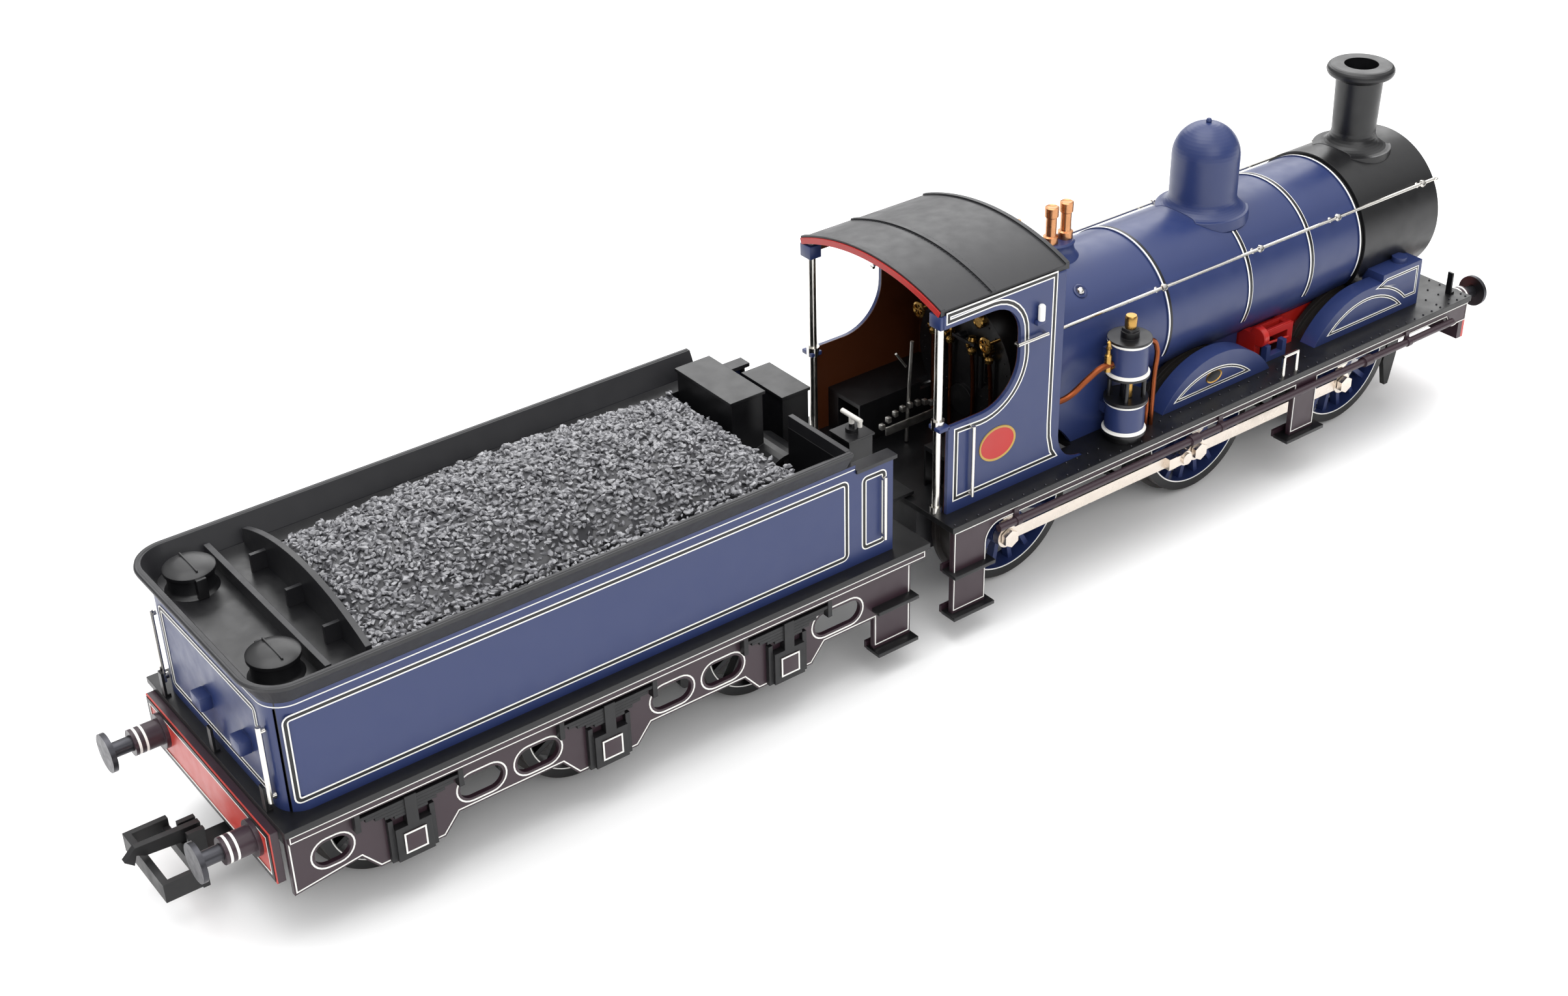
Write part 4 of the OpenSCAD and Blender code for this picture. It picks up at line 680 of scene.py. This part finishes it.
def ovalPlate(name, setup, materials):
    bm = bmesh.new()
    (cx, cz), (halfX, halfZ), steps = setup["centre"], setup["half"], 40
    turns = [math.tau * i / steps for i in range(steps)]
    face = flatFace(bm, [(cx + halfX * math.cos(a), cz + halfZ * math.sin(a)) for a in turns], "y", setup["level"])
    rings = bmesh.ops.inset_individual(bm, faces=[face], thickness=setup["rim"], depth=0)["faces"]
    for ring in rings:
        ring.material_index = 1
    bmesh.ops.translate(bm, vec=(0, 0.06, 0), verts=face.verts[:])  # the middle lies below the rim
    thicken(bm, 0.2)
    bothSides(bm)
    newPiece(name, bm, "locomotive", materials, 50)


ovalPlate("cabSidePlate", cabPlate, [redLacquer, goldInk])
ovalPlate("splasherPlate", splasherPlate, [blackLacquer, brassTurning])

backhead = {
    "face": -34.2, "pipes": (-5.6, 5.6, -2.2, 2.2), "lean": 0.96, "pipe": 0.28, "wheels": (-6.4, 6.4), "wheelZ": 33.6,
    "valve": [(0, 0), (0.55, 0), (0.6, 0.5), (0.35, 0.8), (0.35, 1.6), (0.6, 1.9), (0.5, 2.4), (0, 2.5)],
    "wheel": [(0.85, 0), (1.1, 0.12), (1.1, 0.3), (0.85, 0.42), (0.75, 0.2), (0.85, 0)],
    "spindle": [(0, 0), (0.25, 0), (0.25, 2.4), (0, 2.4)], "spoke": 0.9,
    "gauges": ((0.0, 35.8, 1.2), (-3.0, 35.0, 0.9)),
    "ring": 7.9, "studsY": (-4.6, -3.4, 3.4, 4.6), "studsZ": (22.5, 24.2, 25.9)}


def cabBackhead(setup):
    bm = bmesh.new()
    face, wheelZ, back = setup["face"], setup["wheelZ"], (-1, 0, 0)
    for y in setup["pipes"]:  # copper feed pipes with brass valves
        top = y * setup["lean"]
        pipeRun(bm, [(face - 0.5, y, 18.0), (face - 0.5, y, 26.0), (face - 0.7, top, 30.4)], setup["pipe"], 1)
        turned(bm, setup["valve"], (face - 0.7, top, 30.2), steps=20)
        block(bm, (face - 1.6, face), (top - 0.25, top + 0.25), (31.2, 31.8), 0.08)
    for y in setup["wheels"]:  # hand wheels on their spindles
        turned(bm, setup["wheel"], (face - 2.2, y, wheelZ), back, 28)
        turned(bm, setup["spindle"], (face, y, wheelZ), back, 12)
        for a in (0, 60, 120):
            across = Vector((0, math.cos(math.radians(a)), math.sin(math.radians(a)))) * setup["spoke"]
            hub = Vector((face - 2.4, y, wheelZ))
            pipeRun(bm, [hub - across, hub + across], 0.11, 0, False, 2)
    for y, z, r in setup["gauges"]:  # pressure and vacuum gauges
        turned(bm, [(0, 0), (r, 0), (r, 0.6), (r - 0.15, 0.75), (r - 0.22, 0.62), (0, 0.62)], (face, y, z), back, 28)
    newPiece("backheadFittings", bm, "locomotive", [brassTurning, copperWire])
    bm = bmesh.new()
    ring, level = setup["ring"], face + 0.02
    rivetRow(bm, [(level, ring * math.cos(math.radians(a)), boilerZ + ring * math.sin(math.radians(a)))
                  for a in range(-20, 201, 12)], 0.17)
    rivetRow(bm, [(level, y, z) for y in setup["studsY"] for z in setup["studsZ"]], 0.14)
    newPiece("backheadRivets", bm, "locomotive", [blackLacquer])


cabBackhead(backhead)

lever = {"rod": [(-41.2, 3.2, 17.2), (-41.0, 3.2, 22.0), (-40.4, 3.2, 31.6)], "rodRadius": 0.24,
         "catch": [(-41.3, 3.3, 28.2), (-43.0, 3.3, 30.6)], "catchRadius": 0.17,
         "notches": 9, "first": 52, "step": 9.5, "arcX": (-41.1, 7.6), "arcZ": (15.0, 7.4),
         "half": 0.32, "tall": 0.75}


def reversingLever(setup):
    # a lever on its notched quadrant
    bm = bmesh.new()
    pipeRun(bm, setup["rod"], setup["rodRadius"], 0, False)
    pipeRun(bm, setup["catch"], setup["catchRadius"], 0, False)
    for i in range(setup["notches"]):
        a = math.radians(setup["first"] + i * setup["step"])
        x = setup["arcX"][0] + setup["arcX"][1] * math.cos(a)
        z = setup["arcZ"][0] + setup["arcZ"][1] * math.sin(a)
        block(bm, (x - setup["half"], x + setup["half"]), (2.3, 3.0), (z, z + setup["tall"]), 0.1)
    block(bm, (-45.6, -36.6), (2.0, 2.3), (20.0, 21.2), 0.1)
    newPiece("reversingLever", bm, "locomotive", [platedMetal("castWhiteMetal", "#c4c2bd", 0.3, 0.45)])


reversingLever(lever)

roofArc = {"half": 13.4, "rise": 2.6, "eaves": 45.4, "rear": -50.36, "edge": (-0.05, -0.85), "steps": 40,
           "ribX": -41.9, "ribHalf": 0.42, "ribRise": 0.06, "rivets": 44, "rivet": 0.085}


def roofEdge(setup):
    # the rear edge of the roof, painted red, and the blue heads of the pillars
    half, rise = setup["half"], setup["rise"]
    r = (half * half + rise * rise) / (2 * rise)
    centre = setup["eaves"] + rise - r
    reach = math.degrees(math.asin(half / r))
    bm = bmesh.new()
    lines = (arcPoints(0, centre, r + grow, 90 + reach, 90 - reach, setup["steps"]) for grow in setup["edge"])
    top, under = ([bm.verts.new((setup["rear"], u, v)) for u, v in line] for line in lines)
    for i in range(setup["steps"]):
        bm.faces.new((top[i], top[i + 1], under[i + 1], under[i]))
    bmesh.ops.recalc_face_normals(bm, faces=bm.faces)
    thicken(bm, 0.14)
    newPiece("roofRearEdge", bm, "locomotive", [redLacquer], None)
    bm = bmesh.new()
    block(bm, (-50.3, -48.5), (-13.5, -11.4), (42.9, 44.7), 0.12)
    block(bm, (-50.2, -48.5), (-13.6, -11.5), (29.0, 29.6), 0.12)
    bothSides(bm)
    newPiece("pillarHeads", bm, "locomotive", [blueLacquer])
    bm = bmesh.new()
    arc = arcPoints(0, centre, r + setup["ribRise"], 90 + reach - 1, 90 - reach + 1, setup["rivets"])
    rivetRow(bm, [(setup["ribX"] + side * setup["ribHalf"], u, v) for side in (-1, 1) for u, v in arc],
             setup["rivet"])
    newPiece("roofRivets", bm, "locomotive", [roofLacquer])


roofEdge(roofArc)

sideLamp = {"at": (-34.6, 14.15, 39.6), "shelfY": 13.95,
            "glass": [(0, 0), (0.42, 0), (0.45, 0.1), (0.45, 1.9), (0.3, 2.1), (0, 2.15)]}


def cabSideLamp(setup):
    # a white knob on a blue bracket on each cab side
    bm = bmesh.new()
    x, out, z = setup["at"]
    for side in (-1, 1):
        shelf = side * setup["shelfY"]
        turned(bm, setup["glass"], (x, side * out, z), steps=20)
        block(bm, (-35.3, -33.9), (shelf - 0.34, shelf + 0.34), (39.0, 39.6), 0.08, 1)
    newPiece("cabSideLamps", bm, "locomotive", [whiteLine, blueLacquer])


cabSideLamp(sideLamp)
print("cab fitted")

# ---- Boiler fittings ----
plugs = {"x": (-20.4, -26.6), "angle": 52, "out": 10.25,
         "dish": [(0.55, 0), (0.95, 0), (1.0, 0.15), (0.8, 0.28), (0.6, 0.1), (0.55, 0)],
         "plug": [(0.58, 0), (0.5, 0.3), (0.3, 0.48), (0, 0.55)]}


def washoutPlugs(setup):
    bm = bmesh.new()
    angle = math.radians(setup["angle"])
    for x in setup["x"]:  # each in its recess
        for side in (-1, 1):
            out = Vector((0, side * math.cos(angle), math.sin(angle)))
            base = Vector((x, 0, boilerZ)) + out * setup["out"]
            turned(bm, setup["dish"], base, out, 28, 1)
            turned(bm, setup["plug"], base, out, 24)
    newPiece("washoutPlugs", bm, "locomotive", [nickelWire, blueLacquer])


washoutPlugs(plugs)

valves = {
    "seatAt": (-18.6, 0, 37.85), "seatStretch": (1.3, 1.0, 1.0, 1),
    "seat": [(2.55, 0), (2.3, 0.5), (1.95, 1.0), (1.8, 1.8), (1.95, 2.3), (1.75, 2.55), (0, 2.55)],
    "columnX": (-19.9, -17.3), "columnZ": 40.38,
    "column": [(0.7, 0), (1.0, 0), (1.0, 0.95), (0.72, 1.1), (0.72, 3.6), (0.9, 3.75), (0.92, 5.0), (0.75, 5.1),
               (0.5, 4.95), (0, 4.95)],
    "whistleAt": (-25.8, 0, 38.1),
    "whistle": [(0.55, 0), (0.55, 3.9), (0.9, 4.1), (0.9, 6.6), (0.5, 6.9), (0.42, 7.2), (0, 7.25)],
    "knobAt": (8.4, 0, 49.4), "knob": [(0, 0), (0.34, 0.1), (0.42, 0.4), (0.3, 0.7), (0, 0.8)]}


def safetyValves(setup):
    seat = bmesh.new()
    turned(seat, setup["seat"], (0, 0, 0), steps=40)
    seat.transform(Matrix.Translation(setup["seatAt"]) @ Matrix.Diagonal(setup["seatStretch"]))
    bm = bmesh.new()
    addTo(bm, seat)
    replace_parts(newPiece("valveSeat", bm, "locomotive", [blueLacquer]), "safety_valves")
    bm = bmesh.new()
    for x in setup["columnX"]:
        turned(bm, setup["column"], (x, 0, setup["columnZ"]), steps=28)
    turned(bm, setup["whistle"], setup["whistleAt"], steps=20)
    newPiece("valveColumns", bm, "locomotive", [valveBronze])
    bm = bmesh.new()
    turned(bm, setup["knob"], setup["knobAt"], steps=20)
    newPiece("domeKnob", bm, "locomotive", [blueLacquer])


safetyValves(valves)

pump = {
    "lubricator": [(0, 0), (0.75, 0), (0.8, 0.3), (0.8, 1.5), (0.68, 1.7), (0, 1.75)],
    "steamValve": [(0, 0), (0.5, 0.1), (0.5, 2.4), (0.3, 2.6), (0.28, 3.2), (0.42, 3.4), (0.28, 3.7), (0.3, 4.2),
                   (0, 4.5)],
    "unions": (((-21.2, -13.3, 28.2), 0.42, 0.9, (1, 0, 0), 16), ((-15.7, -13.5, 29.6), 0.55, 0.7, (1, 0, 0), 20),
               ((-15.7, -13.5, 22.0), 0.5, 0.5, (1, 0, 0), 20), ((-18.2, -14.0, 23.2), 0.45, 3.2, (0, 0, 1), 20)),
    "pipes": ((0.42, [(-30.3, -11.9, 25.3), (-27.4, -12.1, 25.4), (-24.6, -12.8, 27.4), (-22.8, -13.2, 28.5),
                      (-21.0, -13.4, 28.6)]),
              (0.36, [(-15.7, -13.5, 29.7), (-14.2, -13.5, 29.8), (-13.2, -13.5, 28.8), (-13.2, -13.5, 24.0),
                      (-13.2, -13.5, 17.0)]),
              (0.36, [(-15.7, -13.5, 22.1), (-14.8, -13.5, 22.1), (-14.35, -13.5, 21.2), (-14.35, -13.5, 17.0)]))}


def pumpDetail(setup):
    # lubricator, steam valve, delivery unions, pipes and valve chest of the air pump
    bm = bmesh.new()
    turned(bm, setup["lubricator"], (-18.2, -13.5, 33.0), steps=28)
    turned(bm, setup["steamValve"], (-21.6, -13.2, 27.6), steps=20)
    for base, r, long, axis, steps in setup["unions"]:
        turned(bm, [(0, 0), (r, 0), (r, long), (0, long)], base, axis, steps)
    newPiece("pumpFittings", bm, "locomotive", [brassTurning])
    bm = bmesh.new()
    for radius, path in setup["pipes"]:
        pipeRun(bm, path, radius)
    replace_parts(newPiece("pumpPipeRuns", bm, "locomotive", [copperWire]), "pump_pipes")
    bm = bmesh.new()
    block(bm, (-19.1, -17.3), (-14.4, -12.6), (31.6, 33.0), 0.3)
    newPiece("pumpValveChest", bm, "locomotive", [satinBlack])


pumpDetail(pump)

smokeboxRing = {"x": 46.85, "radius": 10.1, "rivet": 0.16, "step": 8}


def smokeboxDetail(setup):
    bm = bmesh.new()
    angles = [math.radians(a) for a in range(-30, 211, setup["step"])]
    rivetRow(bm, [(setup["x"], setup["radius"] * math.cos(a), boilerZ + setup["radius"] * math.sin(a))
                  for a in angles], setup["rivet"])
    newPiece("smokeboxRivets", bm, "locomotive", [blackLacquer])


smokeboxDetail(smokeboxRing)

rails = {"out": 11.73, "angle": 32.5, "from": -30.2, "to": 45.9, "wire": 0.22, "knobs": (-8.7, 9.6, 25.2, 43.2),
         "smokeboxX": 31, "smokebox": 10.78, "boiler": 10.28, "hoop": 0.3, "front": 0.2}


def railsAndHoops(setup):
    bm = bmesh.new()
    out = setup["out"]  # from the boiler's centre to the rail
    across, up = math.cos(math.radians(setup["angle"])), math.sin(math.radians(setup["angle"]))
    for side in (-1, 1):  # boiler rails on turned knobs
        pipeRun(bm, [(x, side * out * across, boilerZ + out * up) for x in (setup["from"], setup["to"])],
                setup["wire"], 0, False)
        for x in setup["knobs"]:
            start = setup["smokebox"] if x > setup["smokeboxX"] else setup["boiler"]
            knob = [(0, 0), (0.42, 0), (0.3, 0.15), (0.2, 0.5), (0.24, out - start - 0.5), (0.48, out - start - 0.2),
                    (0.54, out - start + 0.05), (0.4, out - start + 0.38), (0, out - start + 0.5)]
            turned(bm, knob, (x, side * start * across, boilerZ + start * up), (0, side * across, up), 20)
    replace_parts(newPiece("boilerRails", bm, "locomotive", [nickelWire]), "boiler_handrails")
    bm = bmesh.new()
    for y in (-15.9, 15.9):  # grab hoops on the footplate, and the rail round the smokebox front
        pipeRun(bm, [(9.8, y, 17.0), (9.8, y, 20.2), (12.4, y, 20.2), (12.4, y, 17.0)], setup["hoop"], 0, False)
    front = [(46.0, -10.1, 33.95), (47.1, -9.5, 33.8)]
    front += [(47.5, u, v) for u, v in arcPoints(0, boilerZ, 9.9, 146, 34, 24)]
    front += [(47.1, 9.5, 33.8), (46.0, 10.1, 33.95)]
    pipeRun(bm, front, setup["front"])
    newPiece("hoopsAndFrontRail", bm, "locomotive", [nickelWire])


railsAndHoops(rails)

motion = {"bearing": [(0, 0), (1.3, 0), (1.45, 0.15), (1.45, 0.9), (1.3, 1.05), (0, 1.05)],
          "bearingAt": (12.0, 9.9, 20.3), "bars": (9.25, 7.65), "barHalf": 0.25, "link": 0.22}


def redMotion(setup):
    # weigh shaft, its bearing and the lifting links between the frames
    bm = bmesh.new()
    x, out, z = setup["bearingAt"]
    for side in (-1, 1):
        turned(bm, setup["bearing"], (x, side * out, z), (-1, 0, 0), 28)
        for y in setup["bars"]:
            block(bm, (11.4, 18.4), (side * y - setup["barHalf"], side * y + setup["barHalf"]), (20.15, 20.4), 0.06)
        pipeRun(bm, [(12.4, side * 9.5, 18.4), (18.0, side * 9.5, 18.0)], setup["link"], 0, False)
    newPiece("weighShaft", bm, "locomotive", [redLacquer])


redMotion(motion)
print("boiler and motion fitted")

# ---- Tender fittings ----
covers = {"half": 1.35, "y": (-17.12, -16.95), "z": (7.3, 10.0), "lined": -17.16, "line": [(0.2, 0)]}


def axleboxFaces(setup):
    bm = bmesh.new()
    half, (low, high) = setup["half"], setup["z"]
    for x in tenderAxles:
        block(bm, (x - half, x + half), setup["y"], (low, high), 0.05)
    bothSides(bm)
    newPiece("axleboxCovers", bm, "tender", [plumLacquer])
    liningPiece("axleboxLining", "tender", [
        ([(x - half, low), (x + half, low), (x + half, high), (x - half, high)], "y", setup["lined"], setup["line"])
        for x in tenderAxles])


axleboxFaces(covers)

steps = {"y": (-17.4, -14.9), "grow": 0.06, "tall": 0.46,
         "pieces": (("locoTreads", "locomotive", ((10.6, 18, 6.8), (-50.4, -43.8, 9.8), (-50.4, -43.8, 3.6))),
                    ("tenderTreads", "tender", ((-62.6, -56.4, 9.8), (-62.6, -56.4, 3.6))))}


def stepTreads(setup):
    # black treads over the moulded steps: loco and tender
    grow = setup["grow"]
    for name, body, treads in setup["pieces"]:
        bm = bmesh.new()
        for x0, x1, z in treads:
            block(bm, (x0 - grow, x1 + grow), setup["y"], (z - grow, z + setup["tall"]), 0.04)
        bothSides(bm)
        newPiece(name, bm, body, [blackLacquer])


stepTreads(steps)

filler = {"x": -135.9, "y": 10.1, "z": 31.0, "hingeY": 7.2,
          "pipe": [(3.0, 0), (2.7, 0.25), (2.55, 0.5), (2.55, 2.1), (2.85, 2.2), (2.85, 2.6), (2.5, 2.85), (1.4, 3.05),
                   (0, 3.1)]}
coping = {"z": 33.5, "front": -66.2, "half": 16.35, "cornerX": -136.35, "cornerY": 11.9, "corner": 4.4, "bead": 0.3}
tankRails = {"rear": 13.3, "rearStudZ": (19.1, 27.4), "front": 15.95, "frontStudZ": (19.8, 27.7),
             "lamps": (-8.0, 1.6)}


def tankTop(pipes, edge):
    bm = bmesh.new()
    for side in (-1, 1):  # filler pipes with domed lids, a low fin across each
        middle, hinge = side * pipes["y"], side * pipes["hingeY"]
        turned(bm, pipes["pipe"], (pipes["x"], middle, pipes["z"]), steps=48)
        block(bm, (-136.0, -135.8), (middle - 2.3, middle + 2.3), (33.6, 34.18), 0.05)
        block(bm, (-136.5, -135.3), (hinge - 0.3, hinge + 0.3), (pipes["z"], 33.5), 0.1)
    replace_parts(newPiece("fillerPipes", bm, "tender", [blackLacquer]), "fillers")
    bm = bmesh.new()
    lip = [(edge["front"], -edge["half"])]
    lip += arcPoints(edge["cornerX"], -edge["cornerY"], edge["corner"], -90, -180, 10)
    lip += arcPoints(edge["cornerX"], edge["cornerY"], edge["corner"], 180, 90, 10)
    lip += [(edge["front"], edge["half"])]
    pipeRun(bm, [(x, y, edge["z"]) for x, y in lip], edge["bead"], 0, False)
    newPiece("copingBead", bm, "tender", [roofLacquer])


def tankHandrails(setup):
    bm = bmesh.new()
    for y in setup["lamps"]:  # painted lamp brackets on the tank's rear
        block(bm, (-140.9, -139.4), (y - 1.2, y + 1.2), (21.9, 23.7), 0.25)
    newPiece("rearLampBrackets", bm, "tender", [blueLacquer])
    bm = bmesh.new()
    rear, front = setup["rear"], setup["front"]
    for z in setup["rearStudZ"]:
        for side in (-1, 1):
            turned(bm, [(0, 0), (0.3, 0), (0.3, 0.55), (0, 0.6)], (-139.4, side * rear, z), (-1, 0, 0), 16)
    for side in (-1, 1):
        pipeRun(bm, [(-140.0, side * rear, 18.3), (-140.0, side * rear, 28.0)], 0.33, 0, False)
        pipeRun(bm, [(-60.6, side * front, 19.4), (-60.6, side * front, 28.1)], 0.24, 0, False)
        for z in setup["frontStudZ"]:
            turned(bm, [(0, 0), (0.22, 0), (0.22, 0.6), (0, 0.62)], (-60.6, side * 15.3, z), (0, side, 0), 14)
    newPiece("tenderHandrails", bm, "tender", [nickelWire])


tankTop(filler, coping)
tankHandrails(tankRails)
print("tender fitted")

# ---- Floor ----
floorPaper = {"half": 4, "colour": "#fbfbfb", "drift": 0.01, "patch": 40, "roughness": 0.9}


def layFloor(setup):
    bm = bmesh.new()
    bmesh.ops.create_grid(bm, x_segments=2, y_segments=2, size=setup["half"])
    mesh = bpy.data.meshes.new("studioFloor")
    bm.to_mesh(mesh)
    bm.free()
    # a flat sheet of pale matt paper
    material, tree = startMaterial("palePaperSweep")
    paper = drift(tree, setup["colour"], setup["drift"], setup["patch"])
    finishMaterial(tree, addNode(tree, "BsdfPrincipled", {"Base Color": paper, "Roughness": setup["roughness"]}))
    mesh.materials.append(material)
    floor = bpy.data.objects.new("studioFloor", mesh)
    scene.collection.objects.link(floor)


layFloor(floorPaper)
